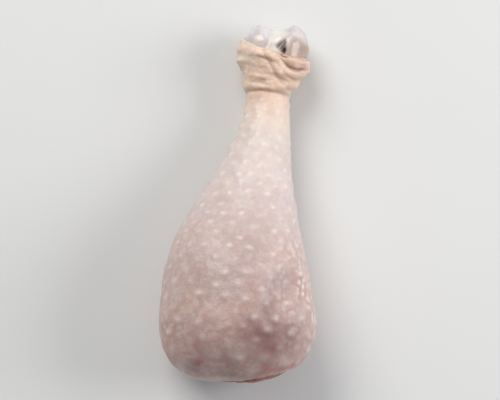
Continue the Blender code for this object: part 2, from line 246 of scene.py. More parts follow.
@dataclass(frozen=True)
class LegShape:
    """The drumstick's surfaces, from the sizes that its solids are made from."""

    middle: tuple[float, float] = (-2.6527, 67.1726)
    skin_sections: Table = (
        (0.0, 21.5, 26.5, 31.0, 23.0, 25.0),
        (22.0, 21.6, 25.8, 31.2, 24.4, 26.6),
        (36.0, 21.3, 23.2, 31.0, 24.2, 26.0),
        (50.0, 20.2, 19.2, 28.6, 21.8, 22.6),
        (65.0, 18.3, 14.8, 22.4, 17.2, 16.8),
        (80.0, 15.5, 11.4, 15.0, 12.6, 11.4),
        (95.0, 12.9, 9.4, 9.8, 9.2, 8.0),
        (105.0, 11.9, 8.3, 8.3, 7.8, 7.1),
        (113.0, 11.5, 10.8, 10.4, 9.4, 9.2),
        (120.0, 11.3, 14.1, 13.3, 11.0, 11.6),
        (128.0, 11.2, 13.4, 12.8, 10.0, 11.2),
    )
    roundness: tuple[float, float] = (2.0, 2.3)
    cap_length: float = 24.0
    cap_roundness: float = 2.25
    cap_calf_extra: float = 0.18
    floor_blend: float = 1.6
    floor_press: float = 0.3
    swells: Table = (
        (-0.9, 34.0, 15.0, 1.10, 0.32),
        (0.7, 30.0, 17.0, 0.35, 0.35),
        (0.6, 52.0, 18.0, 2.40, 0.50),
        (-0.7, 64.0, 22.0, 3.75, 0.30),
        (-1.2, 119.4, 1.1, 0.55, 0.45),
        (-1.4, 109.4, 2.4, 0.00, 0.65),
    )
    crease_along: float = 107.6
    crease_tilt: float = 0.9
    crease_depth: float = 0.35
    crease_step: float = 0.25
    cuff_span: tuple[float, ...] = (107.0, 113.0, 119.0, 124.0)
    cuff_fold: float = 0.28
    cuff_roll: float = 0.9
    cuff_roll_setback: float = 2.6
    cuff_roll_width: float = 2.0
    skin_thickness: float = 1.8
    rim_thickness: float = 0.75
    rim_gap: float = 0.2
    rim_overhang: tuple[float, float, float, float] = (0.1, 3.2, 2.1, 1.3)
    rim_tatters: tuple[float, float, float] = (0.75, 9.0, 2.6)
    rim_least_along: float = 1.0
    ankle_notches: Table = ((1.4, 1.27, 0.17), (0.9, 0.62, 0.4))
    layer_steps: tuple[float, ...] = (
        *(0.0, 0.006, 0.013, 0.022, 0.034, 0.05, 0.07, 0.1, 0.14, 0.19, 0.26, 0.36),
        *(0.5, 0.64, 0.76, 0.8, 0.84, 0.88, 0.92, 0.95, 0.975, 1.0),
    )
    ankle_edge_along: float = 124.0
    ankle_edge_tilt: float = 2.4
    ankle_edge_notch: float = 1.2
    ankle_edge_wave: float = 0.4
    knee_edge_waves: Table = ((0.4, 3, 0.6), (0.2, 5, 0.0))
    cut_top: tuple[float, float] = (3.4, 35.0)
    cut_lean: float = 0.34
    cut_turn: float = 0.1
    meat_swell: float = 7.6
    bone_sections: Table = (
        (10.0, 9.4, 7.4),
        (18.0, 8.4, 6.8),
        (28.0, 5.8, 5.2),
        (42.0, 4.2, 4.0),
        (75.0, 3.7, 3.5),
        (97.0, 4.1, 3.7),
        (107.0, 5.0, 4.4),
        (114.0, 8.3, 6.8),
        (120.0, 11.6, 8.8),
        (126.0, 12.5, 9.2),
    )
    bone_knee: tuple[float, float] = (-2.0, 15.4)
    bone_ankle: tuple[float, float] = (0.6, 11.3)
    head_along: float = 10.0
    head_tip: float = 1.4
    head_dimple: float = 1.0
    knuckle_along: float = 126.0
    knuckle_profile: Table = (
        (-12.5, 0.0),
        (-11.4, 3.2),
        (-9.4, 5.9),
        (-6.2, 7.6),
        (-2.6, 6.9),
        (0.0, 6.1),
        (2.8, 7.0),
        (6.6, 9.0),
        (9.8, 7.2),
        (11.6, 4.2),
        (12.5, 0.0),
    )
    groove: tuple[float, float, float] = (0.4, 1.9, 3.4)
    gap: float = 0.35
    bone_gap: float = 0.45
    meat_end_step: float = 0.76
    ankle_fit_step: float = 0.84

    def place(self, x: Array, along: Array, z: Array) -> Array:
        """Points in the frame, still in millimetres, from distances across, along and up."""
        x, along, z = np.broadcast_arrays(x, along, z)
        return np.stack([x - self.middle[0], along - self.middle[1], z], axis=-1)

    def columns(self, sections: Table, along: Array) -> list[Array]:
        """Every column of a table of sections after the first, at distances along."""
        table = np.array(sections).T
        return [smooth_through(along, table[0], column) for column in table[1:]]

    def leg_point(self, along: Array, angle: Array, depth: Array | float) -> tuple[Array, Array]:
        """A point of the leg's surface, or of a layer under it.

        Args:
            along: Distance from the knee end.
            angle: Angle round the leg.
            depth: How far the layer lies under the surface, negative above it.

        Returns:
            Distances across and up.
        """
        height, shin, calf, top, under = self.columns(self.skin_sections, along)
        to_shin, to_top = np.cos(angle), np.sin(angle)
        exponent = self.cap_roundness - self.cap_calf_extra * to_shin
        buried = np.maximum(depth, 0)
        left = np.clip(1 - (along - buried) / (self.cap_length - buried), 0, 1)
        share = (1 - left**exponent) ** (1 / exponent)
        across = (np.where(to_shin >= 0, shin, calf) - depth) * share
        up = (np.where(to_top >= 0, top, under) - depth) * share
        power = 2 / np.where(to_top >= 0, *self.roundness)
        x = across * np.sign(to_shin) * np.abs(to_shin) ** power
        above = height + up * np.sign(to_top) * np.abs(to_top) ** power - buried
        pressed = 0.5 * (above + np.sqrt(above**2 + self.floor_blend**2)) - self.floor_press
        return x, buried + np.maximum(pressed, 0)

    def bone_axis(self, along: Array | float) -> tuple[Array, Array]:
        """The bone's centre line.

        Args:
            along: Distance from the knee end.

        Returns:
            Distances across and up.
        """
        share = (along - self.head_along) / (self.knuckle_along - self.head_along)
        x, z = (knee + (ankle - knee) * share for knee, ankle in zip(self.bone_knee, self.bone_ankle))
        return x, z

    def groove_depth(self, offset: Array) -> Array:
        """Depth of the knuckle's groove at a distance across from the bone's centre."""
        centre, depth, width = self.groove
        return depth * hill(offset, centre, width)

    def bone_point(
        self, along: Array, angle: Array, clearance: float = 0.0, grooved: bool = False
    ) -> tuple[Array, Array]:
        """A point of the bone's surface, or of the room that it needs.

        Args:
            along: Distance from the knee end.
            angle: Angle round the bone.
            clearance: How far outside the bone the point lies.
            grooved: Whether the knuckle's groove is cut in.

        Returns:
            Distances across and up.
        """
        across, up = self.bone_axis(along)
        half_width, half_height = self.columns(self.bone_sections, along)
        x = (half_width + clearance) * np.cos(angle)
        z = (half_height + clearance) * np.sin(angle)
        if grooved:
            z = z - self.groove_depth(x) * fade(along, 112, 122) * np.sin(angle)
        return across + x, np.maximum(up + z, clearance)

    def cut_along(self, x: Array, z: Array) -> Array:
        """Distance along of the slanting cut's plane."""
        along, height = self.cut_top
        return along + self.cut_lean * np.maximum(height - z, 0) + self.cut_turn * x

    def knee_edge(self, angle: Array) -> Array:
        """Distance along of the skin's cut edge.

        Args:
            angle: Angles round the leg.

        Returns:
            Where the leg meets the cut, with a slight wave.
        """
        along = np.full_like(angle, self.cut_top[0])
        for _ in range(30):
            x, z = self.leg_point(along, angle, 0.0)
            along = 0.5 * (along + self.cut_along(x, z))
        waves = (height * np.sin(count * angle + phase) for height, count, phase in self.knee_edge_waves)
        return along + sum(waves)

    def knee_rim(self, angle: Array) -> Array:
        """The skin's thin ragged rim, which is drawn over the meat on the calf side and top.

        Args:
            angle: Angles round the leg.

        Returns:
            Its distances along.
        """
        least, most, turn, reach = self.rim_overhang
        depth, ring_radius, lump_size = self.rim_tatters
        edge = self.knee_edge(angle) - least - most * hill_round(angle, turn, reach)
        ring = ring_radius * np.stack([np.cos(angle), np.sin(angle), 0 * angle], axis=-1)
        return np.maximum(edge + depth * cloud(ring, lump_size, salt=2, octaves=3), self.rim_least_along)

    def skin_depth(self, past_rim: Array) -> Array:
        """The skin's thickness at a distance from its knee rim, where it thins out."""
        return self.rim_thickness + (self.skin_thickness - self.rim_thickness) * fade(past_rim, 0, 7)

    def under_skin(self, along: Array, angle: Array, depth: Array | float) -> Array:
        """Points straight under the leg's smooth surface.

        Args:
            along: Distance from the knee end.
            angle: Angle round the leg.
            depth: How deep the points lie.

        Returns:
            Distances across, along and up.
        """

        def surface(at_along: Array, at_angle: Array) -> Array:
            """Points of the leg's smooth surface."""
            x, z = self.leg_point(at_along, at_angle, 0.0)
            return np.stack([x, at_along, z], axis=-1)

        along, angle, depth = np.broadcast_arrays(along, angle, depth)
        onward = surface(along + 0.02, angle) - surface(along - 0.02, angle)
        sideways = surface(along, angle + 0.001) - surface(along, angle - 0.001)
        normal = np.cross(onward, sideways)
        normal /= np.maximum(np.linalg.norm(normal, axis=-1, keepdims=True), 1e-12)
        return surface(along, angle) - normal * depth[..., None]

    def ankle_rim(self, angle: Array) -> Array:
        """The skin's ankle rim, drawn back over the knuckle's hollow and the shin side's lobe.

        Args:
            angle: Angles round the leg.

        Returns:
            Its distances along.
        """
        notches = (depth * hill_round(angle, turn, reach) for depth, turn, reach in self.ankle_notches)
        return self.ankle_edge(angle) - sum(notches)

    def layer_along(self, angle: Array) -> Array:
        """Distances along of the rows of the skin's inside and the meat's outside, from knee to ankle."""
        rim = self.knee_rim(angle)
        return rim + (self.ankle_rim(angle) - rim) * np.array(self.layer_steps)[:, None]

    def ankle_edge(self, angle: Array) -> Array:
        """The edge at which the solid's skin ends at the ankle.

        Args:
            angle: Angles round the leg.

        Returns:
            Its distances along.
        """
        notch = self.ankle_edge_notch * hill(np.sin(angle), 1, 0.5)
        wave = self.ankle_edge_wave * np.sin(3 * angle)
        return self.ankle_edge_along - self.ankle_edge_tilt * np.cos(angle) - notch + wave

    def broad_relief(self, along: Array, angle: Array) -> Array:
        """Height of the skin's swells and folds above the smooth leg.

        Args:
            along: Distance from the knee end.
            angle: Angle round the leg.

        Returns:
            Heights, negative in dents.
        """
        rise, hold, sink, end = self.cuff_span
        cuff = fade(along, rise, hold) * (1 - fade(along, sink, end))
        folds = np.sin(0.9 * along + 2 * angle + 1.5) + 0.7 * np.sin(1.35 * along - 3 * angle)
        calf_side = 0.35 + 0.65 * hill(np.cos(angle), -0.4, 0.6)
        rim = self.ankle_edge(angle) - self.cuff_roll_setback
        roll = self.cuff_roll * hill(along, rim, self.cuff_roll_width)
        relief = self.cuff_fold * cuff * folds + roll * calf_side
        past = along - self.crease_along - self.crease_tilt * np.sin(angle - 0.4)
        relief = relief + self.crease_step * fade(past, -0.2, 1.6) * (1 - fade(past, 1.6, 6))
        relief = relief - self.crease_depth * hill(past, -0.6, 1.1)
        for height, centre, reach, turn, turn_reach in self.swells:
            relief = relief + height * hill(along, centre, reach) * hill_round(angle, turn, turn_reach)
        return relief

    def knuckle_end(self, x: Array, z: Array) -> Array:
        """Distance along of the knuckle's two-lobed end.

        Args:
            x: Distances across.
            z: Heights.

        Returns:
            Where the end's surface lies.
        """
        across, up = self.bone_axis(self.knuckle_along)
        half_width, half_height = self.bone_sections[-1][1:]
        offset = x - across
        knots, lengths = np.array(self.knuckle_profile).T
        chord = np.sqrt(np.maximum(1 - (offset / half_width) ** 2, 1e-9))
        rise = (half_height - self.groove_depth(offset)) * chord
        rounded = np.sqrt(np.maximum(1 - ((z - up) / rise) ** 2, 0))
        return self.knuckle_along + smooth_through(offset, knots, lengths) * rounded


def grid_normals(points: Array) -> Array:
    """Outward normals of a grid of points.

    Args:
        points: Rows of points, each row running round the leg.

    Returns:
        A unit vector for each point.
    """
    onward = np.gradient(points, axis=0)
    sideways = np.roll(points, -1, axis=1) - np.roll(points, 1, axis=1)
    normal = np.cross(sideways, onward)
    normal /= np.maximum(np.linalg.norm(normal, axis=-1, keepdims=True), 1e-9)
    outward = points - points.mean(axis=1, keepdims=True)
    return normal if (normal * outward).sum() > 0 else -normal


def mesh_piece(name: str, points: Array, masks: Masks, capped: bool = False) -> bpy.types.Object:
    """A closed mesh through rows of points.

    Args:
        name: The piece's name.
        points: Rows of points in millimetres, each row a closed ring.
        masks: What the mesh tells its material, one value for each point.
        capped: Whether the two end rows are closed off. If not, the last row joins the first.

    Returns:
        The new object.
    """
    rows, sides = points.shape[:2]
    index = np.arange(rows * sides).reshape(rows, sides)
    row = index[:-1] if capped else index
    after = index[1:] if capped else np.roll(index, -1, axis=0)
    quads = np.stack([row, np.roll(row, -1, axis=1), np.roll(after, -1, axis=1), after], axis=-1)
    quads = quads.reshape(-1, 4)
    corners = points.reshape(-1, 3)
    faces = quads.tolist()
    values = {mask: np.broadcast_to(value, (rows, sides)).ravel() for mask, value in masks.items()}
    if capped:
        corners = np.concatenate([corners, points[[0, -1]].mean(axis=1)])
        first, last = rows * sides, rows * sides + 1
        faces += [[b, a, first] for a, b in zip(index[0].tolist(), np.roll(index[0], -1).tolist())]
        faces += [[a, b, last] for a, b in zip(index[-1].tolist(), np.roll(index[-1], -1).tolist())]
        values = {mask: np.append(value, value[[0, last - 2]]) for mask, value in values.items()}
    a, b, c = (corners[quads[:, k]] for k in range(3))
    if (a * np.cross(b, c)).sum() < 0:
        faces = [face[::-1] for face in faces]
    mesh = bpy.data.meshes.new(name)
    mesh.from_pydata((corners * MM).tolist(), [], faces)
    for mask, value in values.items():
        layer = mesh.attributes.new(mask.value, "FLOAT", "POINT")
        layer.data.foreach_set("value", np.clip(value, 0, 1).astype(np.float32))
    mesh.shade_smooth()
    piece = bpy.data.objects.new(name, mesh)
    bpy.context.scene.collection.objects.link(piece)
    return piece


def dress(piece: bpy.types.Object, material: Material) -> None:
    """Gives a piece its material and the body that it rides on.

    Args:
        piece: The piece.
        material: The material.
    """
    piece.data.materials.append(material)
    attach(piece, BODY)


def linear(red: float, green: float, blue: float) -> Colour:
    """A colour from the 0 to 255 values that a picture shows."""
    values = [c / 255 for c in (red, green, blue)]
    return tuple(c / 12.92 if c <= 0.04045 else ((c + 0.055) / 1.055) ** 2.4 for c in values)


class ShaderTree:
    """Adds and joins the nodes of one material or node group."""

    def __init__(self, tree: bpy.types.NodeTree) -> None:
        """Takes the tree that nodes are added to."""
        self.nodes = tree.nodes
        self.links = tree.links

    def feed(self, socket: Socket, value: Any) -> None:
        """Links another socket to a socket, or sets its value.

        Args:
            socket: The socket that is fed.
            value: A socket, a number, a vector or a colour.
        """
        if isinstance(value, Socket):
            self.links.new(value, socket)
        elif socket.type == "RGBA" and len(value) == 3:
            socket.default_value = (*value, 1.0)
        else:
            socket.default_value = value

    def add(self, kind: str, inputs: dict[str | int, Any], **settings: Any) -> bpy.types.Node:
        """Adds a node.

        Args:
            kind: The node's type, without the prefix that all shader nodes share.
            inputs: What feeds its sockets, by name or place.
            **settings: The node's own settings.

        Returns:
            The new node.
        """
        node = self.nodes.new("ShaderNode" + kind)
        for name, setting in settings.items():
            setattr(node, name, setting)
        for key, value in inputs.items():
            self.feed(node.inputs[key], value)
        return node

    def sum(self, operation: str, *values: Any) -> Socket:
        """The result of a Math node."""
        return self.add("Math", dict(enumerate(values)), operation=operation).outputs[0]

    def mix(self, share: Any, low: Any, high: Any) -> Socket:
        """A colour between two, at a share of the way."""
        return self.add("Mix", {0: share, 6: low, 7: high}, data_type="RGBA").outputs[2]

    def spread(self, value: Any, low: Any, high: Any, start: float = 0.0, end: float = 1.0) -> Socket:
        """Takes a value from one range smoothly to another."""
        inputs = {"Value": value, "From Min": low, "From Max": high, "To Min": start, "To Max": end}
        return self.add("MapRange", inputs, interpolation_type="SMOOTHSTEP").outputs[0]

    def ramp(self, value: Any, stops: Sequence[tuple[float, Colour]]) -> Socket:
        """A colour ramp.

        Args:
            value: Where the ramp is read, from 0 to 1.
            stops: Place and colour of each stop.

        Returns:
            The ramp's colour.
        """
        node = self.add("ValToRGB", {0: value})
        elements = node.color_ramp.elements
        for _ in stops[2:]:
            elements.new(1.0)
        for element, (place, colour) in zip(elements, stops):
            element.position = place
            element.color = (*colour, 1.0)
        return node.outputs[0]

    def group(self, tree: bpy.types.NodeTree, inputs: dict[str, Any]) -> bpy.types.Node:
        """Places a node group with its own values.

        Args:
            tree: The group's tree.
            inputs: What feeds its sockets.

        Returns:
            The group node.
        """
        node = self.nodes.new("ShaderNodeGroup")
        node.node_tree = tree
        for key, value in inputs.items():
            self.feed(node.inputs[key], value)
        return node

    def mask(self, mask: Mask) -> Socket:
        """A mask that the mesh carries."""
        return self.add("Attribute", {}, attribute_name=mask.value).outputs["Fac"]

    def position(self) -> Socket:
        """Places on the object, in its own frame."""
        return self.add("TexCoord", {}).outputs["Object"]

    def tinted(self, colour: Any, tints: Sequence[Tint]) -> Any:
        """Tints a colour where the mesh's masks say so.

        Args:
            colour: The colour.
            tints: Mask, colour and strength of each tint, the lowest first.

        Returns:
            The tinted colour.
        """
        for mask, tint, strength in tints:
            colour = self.mix(self.sum("MULTIPLY", self.mask(mask), strength), colour, tint)
        return colour


GroupParts = tuple[ShaderTree, Any, Any, bpy.types.NodeTree]


class TissueGroups:
    """The node groups that the raw tissues share, each built once."""

    def __init__(self) -> None:
        """Builds the groups."""
        self.mottle = self._mottle()
        self.wet_grain = self._wet_grain()

    @staticmethod
    def _new(name: str, given: Sequence[str], results: Sequence[str]) -> GroupParts:
        """Starts a group whose first input is a position and whose other sockets are numbers.

        Args:
            name: The group's name.
            given: Names of its inputs after the position.
            results: Names of its outputs.

        Returns:
            The tree to add to, its input node's sockets, its output node's sockets and the group.
        """
        group = bpy.data.node_groups.new(name, "ShaderNodeTree")
        group.interface.new_socket("Position", in_out="INPUT", socket_type="NodeSocketVector")
        for direction, names in (("INPUT", given), ("OUTPUT", results)):
            for socket in names:
                group.interface.new_socket(socket, in_out=direction, socket_type="NodeSocketFloat")
        inputs, outputs = group.nodes.new("NodeGroupInput"), group.nodes.new("NodeGroupOutput")
        return ShaderTree(group), inputs.outputs, outputs.inputs, group

    def _mottle(self) -> bpy.types.NodeTree:
        """Soft patches, from the size of the patches and how sharply they end.

        Returns:
            The group.
        """
        names = ("Patches Per Metre", "Threshold", "Softness")
        tree, given, results, group = self._new("tissue mottle", names, ("Mask",))
        position, per_metre, threshold, softness = given[0], given[1], given[2], given[3]
        look = {"Detail": 3.0, "Roughness": 0.55, "Distortion": 0.4}
        noise = tree.add("TexNoise", {"Vector": position, "Scale": per_metre, **look}).outputs["Fac"]
        low, high = tree.sum("SUBTRACT", threshold, softness), tree.sum("ADD", threshold, softness)
        tree.links.new(tree.spread(noise, low, high), results[0])
        return group

    def _wet_grain(self) -> bpy.types.NodeTree:
        """Fine surface grain with a broken film of moisture over it.

        Returns:
            The group.
        """
        names = ("Pores Per Metre", "Drops Per Metre")
        tree, given, results, group = self._new("wet grain", names, ("Height", "Wetness"))
        position, pores, drops = given[0], given[1], given[2]
        voronoi = {"Vector": position, "Scale": pores, "Randomness": 1.0}
        pits = tree.add("TexVoronoi", voronoi, feature="SMOOTH_F1", distance="EUCLIDEAN")
        fibres = tree.add("TexNoise", {"Vector": position, "Scale": pores, "Detail": 4.0, "Roughness": 0.6})
        film = tree.add("TexNoise", {"Vector": position, "Scale": drops, "Detail": 2.0, "Roughness": 0.5})
        height = tree.sum("MULTIPLY_ADD", pits.outputs["Distance"], 0.6, fibres.outputs["Fac"])
        tree.links.new(height, results[0])
        tree.links.new(tree.spread(film.outputs["Fac"], 0.4, 0.62), results[1])
        return group

    def mottled(
        self, tree: ShaderTree, position: Socket, colour: Any, patches: Sequence[Patches], gate: Any = 1.0
    ) -> Any:
        """Lays soft patches of other colours over a colour.

        Args:
            tree: The material's tree.
            position: Places on the object.
            colour: The colour under the patches.
            patches: The patches, the lowest first.
            gate: Where they show, from 0 to 1.

        Returns:
            The mottled colour.
        """
        for patch in patches:
            inputs = {
                "Position": position,
                "Patches Per Metre": patch.per_metre,
                "Threshold": patch.threshold,
                "Softness": patch.softness,
            }
            mask = tree.group(self.mottle, inputs).outputs[0]
            share = tree.sum("MULTIPLY", tree.sum("MULTIPLY", mask, gate), patch.strength)
            colour = tree.mix(share, colour, patch.tint)
        return colour


@dataclass(frozen=True)
class WetTissue:
    """What every raw tissue's surface shares: how light scatters in it and how wet it is."""

    name: str
    scatter: float
    scatter_colour: Colour
    scatter_depth: float
    roughness: tuple[float, float]
    coat: float
    pores: float
    drops: float
    bump: float
    bump_distance: float = 0.0004
    gloss: float = 0.5

    def surface(self, groups: TissueGroups) -> tuple[Material, ShaderTree, bpy.types.Node, Socket]:
        """Starts the material with its moisture, grain and scattering.

        Args:
            groups: The shared node groups.

        Returns:
            The material, its tree, its shader and the positions on the object.
        """
        material = bpy.data.materials.new(self.name)
        material.use_nodes = True
        tree = ShaderTree(material.node_tree)
        shader = material.node_tree.nodes["Principled BSDF"]
        position = tree.position()
        counts = {"Position": position, "Pores Per Metre": self.pores, "Drops Per Metre": self.drops}
        grain = tree.group(groups.wet_grain, counts).outputs
        dry, wet = self.roughness
        bump = {"Height": grain["Height"], "Strength": self.bump, "Distance": self.bump_distance}
        settings = {
            "Roughness": tree.spread(grain["Wetness"], 0.0, 1.0, dry, wet),
            "Normal": tree.add("Bump", bump).outputs["Normal"],
            "Metallic": 0.0,
            "IOR": 1.4,
            "Specular IOR Level": self.gloss,
            "Subsurface Weight": self.scatter,
            "Subsurface Radius": self.scatter_colour,
            "Subsurface Scale": self.scatter_depth,
            "Coat Weight": self.coat,
            "Coat Roughness": 0.12,
            "Coat IOR": 1.33,
        }
        for socket, value in settings.items():
            tree.feed(shader.inputs[socket], value)
        return material, tree, shader, position


@dataclass(frozen=True)
class SkinFinish:
    """Moist raw chicken skin: cream at the shank, pink over the calf and mauve at the knee, with the
    darkening towards the knee partly painted shade.
    """

    tissue: WetTissue = WetTissue(
        name="raw_skin",
        scatter=0.35,
        scatter_colour=(1.0, 0.42, 0.28),
        scatter_depth=0.0035,
        roughness=(0.46, 0.30),
        coat=0.22,
        pores=1500.0,
        drops=130.0,
        bump=0.35,
    )
    leg_ends: tuple[float, float] = (-0.064, 0.058)
    # Tone along the leg from the knee end to the ankle: its own colour, with the gradient from the dark knee
    # end to the bright shank partly painted shade and light.
    tones: tuple[tuple[float, Colour], ...] = (
        (0.00, linear(200, 158, 148)),
        (0.14, linear(194, 158, 148)),
        (0.30, linear(200, 172, 164)),
        (0.46, linear(212, 193, 188)),
        (0.62, linear(227, 211, 206)),
        (0.80, linear(237, 223, 209)),
        (0.86, linear(238, 212, 191)),
        (0.94, linear(246, 213, 188)),
        (1.00, linear(250, 223, 202)),
    )
    pink: Colour = linear(202, 162, 152)
    lavender: Colour = linear(202, 188, 192)
    cream: Colour = linear(234, 220, 202)
    # Paler tops of the follicle bumps and fat grains, partly a painted highlight.
    pale_tip_and_highlight: Colour = linear(244, 232, 222)
    # Painted shade for the skin's creases, grooves and pits.
    crease_shade: Colour = linear(164, 118, 98)
    fat: Colour = linear(238, 214, 196)
    # Bruised mauve, which also paints shade in the calf's valley, towards the knee end and in two patches on
    # the top.
    bruise_and_shade: Colour = linear(138, 98, 95)
    # Bloodstained red for real spots and for the dark edge of the knee rim on the shin side, which is partly
    # painted shade.
    blood_and_shade: Colour = linear(172, 98, 90)
    tan: Colour = linear(206, 168, 142)
    drift: tuple[float, float] = (38.0, 0.05)
    leg_fades: tuple[float, ...] = (0.78, 0.90, 1.0, 0.3)
    leg_patches: tuple[Patches, ...] = (
        Patches(pink, 75.0, 0.54, 0.22, 0.20),
        Patches(lavender, 95.0, 0.52, 0.22, 0.38),
        Patches(cream, 150.0, 0.58, 0.20, 0.16),
        Patches(pink, 260.0, 0.54, 0.16, 0.20),
        Patches(cream, 400.0, 0.55, 0.12, 0.32),
    )
    cuff_fades: tuple[float, ...] = (0.84, 0.92)
    cuff_patches: tuple[Patches, ...] = (
        Patches(tan, 160.0, 0.54, 0.12, 0.34),
        Patches(tan, 430.0, 0.54, 0.12, 0.34),
    )
    # The bruised mauve and the bloodstained red are partly painted shade, the creases' colour is painted
    # shade, and the pale tops of follicles and fat grains are partly a painted highlight.
    tints: tuple[Tint, ...] = (
        (Mask.BRUISE_AND_SHADE, bruise_and_shade, 0.95),
        (Mask.STAIN_AND_SHADE, blood_and_shade, 0.45),
        (Mask.CREASE_SHADE, crease_shade, 0.7),
        (Mask.FOLLICLE, pale_tip_and_highlight, 0.62),
        (Mask.CURD, pale_tip_and_highlight, 0.65),
        (Mask.FAT, fat, 0.6),
    )

    def material(self, groups: TissueGroups) -> Material:
        """The skin's material, whose tone drifts from the knee to the ankle, darker towards the knee partly
        as painted shade.

        Args:
            groups: The shared node groups.

        Returns:
            The new material.
        """
        material, tree, shader, position = self.tissue.surface(groups)
        along = tree.add("SeparateXYZ", {0: position}).outputs["Y"]
        scale, reach = self.drift
        drift = tree.add("TexNoise", {"Vector": position, "Scale": scale, "Detail": 2.0}).outputs["Fac"]
        low, high = self.leg_ends
        place = tree.add("MapRange", {"Value": along, "From Min": low, "From Max": high}).outputs[0]
        place = tree.sum("ADD", place, tree.spread(drift, 0.25, 0.75, -reach, reach))
        on_leg, on_cuff = tree.spread(place, *self.leg_fades), tree.spread(place, *self.cuff_fades)
        colour = tree.ramp(place, self.tones)
        colour = groups.mottled(tree, position, colour, self.leg_patches, on_leg)
        colour = groups.mottled(tree, position, colour, self.cuff_patches, on_cuff)
        tree.feed(shader.inputs["Base Color"], tree.tinted(colour, self.tints))
        return material


@dataclass(frozen=True)
class TissueFinish:
    """A raw tissue's colour, its patches of other colours and the tints that its mesh's masks bring."""

    tissue: WetTissue
    colour: Colour
    patches: tuple[Patches, ...]
    tints: tuple[Tint, ...]

    def material(self, groups: TissueGroups) -> Material:
        """The tissue's material.

        Args:
            groups: The shared node groups.

        Returns:
            The new material.
        """
        material, tree, shader, position = self.tissue.surface(groups)
        colour = groups.mottled(tree, position, self.colour, self.patches)
        tree.feed(shader.inputs["Base Color"], tree.tinted(colour, self.tints))
        return material


def cut_meat() -> TissueFinish:
    """Cut raw leg meat: pink bundles of fibre with white fascia between them, and painted shade in the seams,
    along the rim and at the bone's head.

    Returns:
        The finish.
    """
    # dark is the meat's own darker tone in its patches and also the painted shade in its seams and along its
    # rim.
    dark, pale = linear(134, 68, 62), linear(204, 146, 136)
    fascia, fat = linear(222, 200, 188), linear(230, 210, 180)
    return TissueFinish(
        tissue=WetTissue("raw_meat", 0.3, (1.0, 0.25, 0.18), 0.003, (0.42, 0.22), 0.35, 900.0, 180.0, 0.55),
        colour=linear(184, 112, 104),
        patches=(
            Patches(dark, 120.0, 0.52, 0.10, 0.55),
            Patches(pale, 200.0, 0.55, 0.10, 0.50),
            Patches(dark, 620.0, 0.56, 0.08, 0.40),
            Patches(fascia, 420.0, 0.68, 0.05, 0.55),
        ),
        tints=((Mask.CREASE_SHADE, dark, 0.7), (Mask.FASCIA, fascia, 0.8), (Mask.FAT, fat, 0.8)),
    )


def wet_gristle() -> TissueFinish:
    """Wet gristle over bone: bluish white with lavender depth and tan stains, partly painted shade, and
    painted shade in its hollows, pits and grooves.

    Returns:
        The finish.
    """
    # The dark brown is painted shade in the knuckle's hollow, pit and grooves and in the head's pits and
    # where it meets the meat.
    tendon, crevice_shade = linear(234, 230, 214), linear(92, 56, 44)
    return TissueFinish(
        tissue=WetTissue("gristle", 0.2, (0.8, 0.6, 0.6), 0.003, (0.30, 0.16), 0.45, 700.0, 150.0, 0.2),
        colour=linear(223, 216, 216),
        patches=(
            Patches(linear(196, 183, 192), 90.0, 0.48, 0.12, 0.70),
            Patches(tendon, 160.0, 0.58, 0.10, 0.50),
            Patches(linear(170, 110, 104), 150.0, 0.62, 0.10, 0.32),
        ),
        tints=(
            # Tan stains, partly painted shade: on the knuckle's side nearest the cuff, round its hollow, in
            # the head's dishes and pits and where the head meets the meat.
            (Mask.STAIN_AND_SHADE, linear(176, 146, 126), 0.8),
            (Mask.TENDON, tendon, 0.85),
            # Painted shade in hollows, pits and grooves.
            (Mask.CREASE_SHADE, crevice_shade, 0.9),
        ),
    )


def soft_tissue(tissue: WetTissue, colour: Colour, patch: Colour, shade: Colour) -> TissueFinish:
    """The finish of fat, torn membrane or tendon, which mottles between colours.

    Args:
        tissue: The tissue's surface.
        colour: Its main colour.
        patch: The colour of its broad patches.
        shade: The colour of its fine patches and of the painted shade in its creases.

    Returns:
        The finish.
    """
    patches = (Patches(patch, 240.0, 0.54, 0.12, 0.7), Patches(shade, 480.0, 0.58, 0.10, 0.4))
    # The creases take painted shade.
    return TissueFinish(tissue, colour, patches, ((Mask.CREASE_SHADE, shade, 0.8),))


FAT_FINISH = soft_tissue(
    WetTissue("raw_fat", 0.4, (1.0, 0.6, 0.35), 0.003, (0.40, 0.22), 0.3, 1100.0, 160.0, 0.3),
    colour=linear(238, 216, 192),
    patch=linear(228, 186, 170),
    shade=linear(186, 122, 108),
)
MEMBRANE_FINISH = soft_tissue(
    WetTissue("torn_membrane", 0.12, (0.9, 0.6, 0.5), 0.001, (0.36, 0.20), 0.4, 900.0, 200.0, 0.4),
    colour=linear(216, 188, 174),
    patch=linear(186, 146, 134),
    shade=linear(136, 94, 84),
)
TENDON_FINISH = soft_tissue(
    WetTissue("cut_tendon", 0.35, (0.9, 0.7, 0.6), 0.002, (0.32, 0.18), 0.4, 800.0, 200.0, 0.3),
    colour=linear(236, 232, 220),
    patch=linear(214, 198, 196),
    shade=linear(170, 128, 116),
)


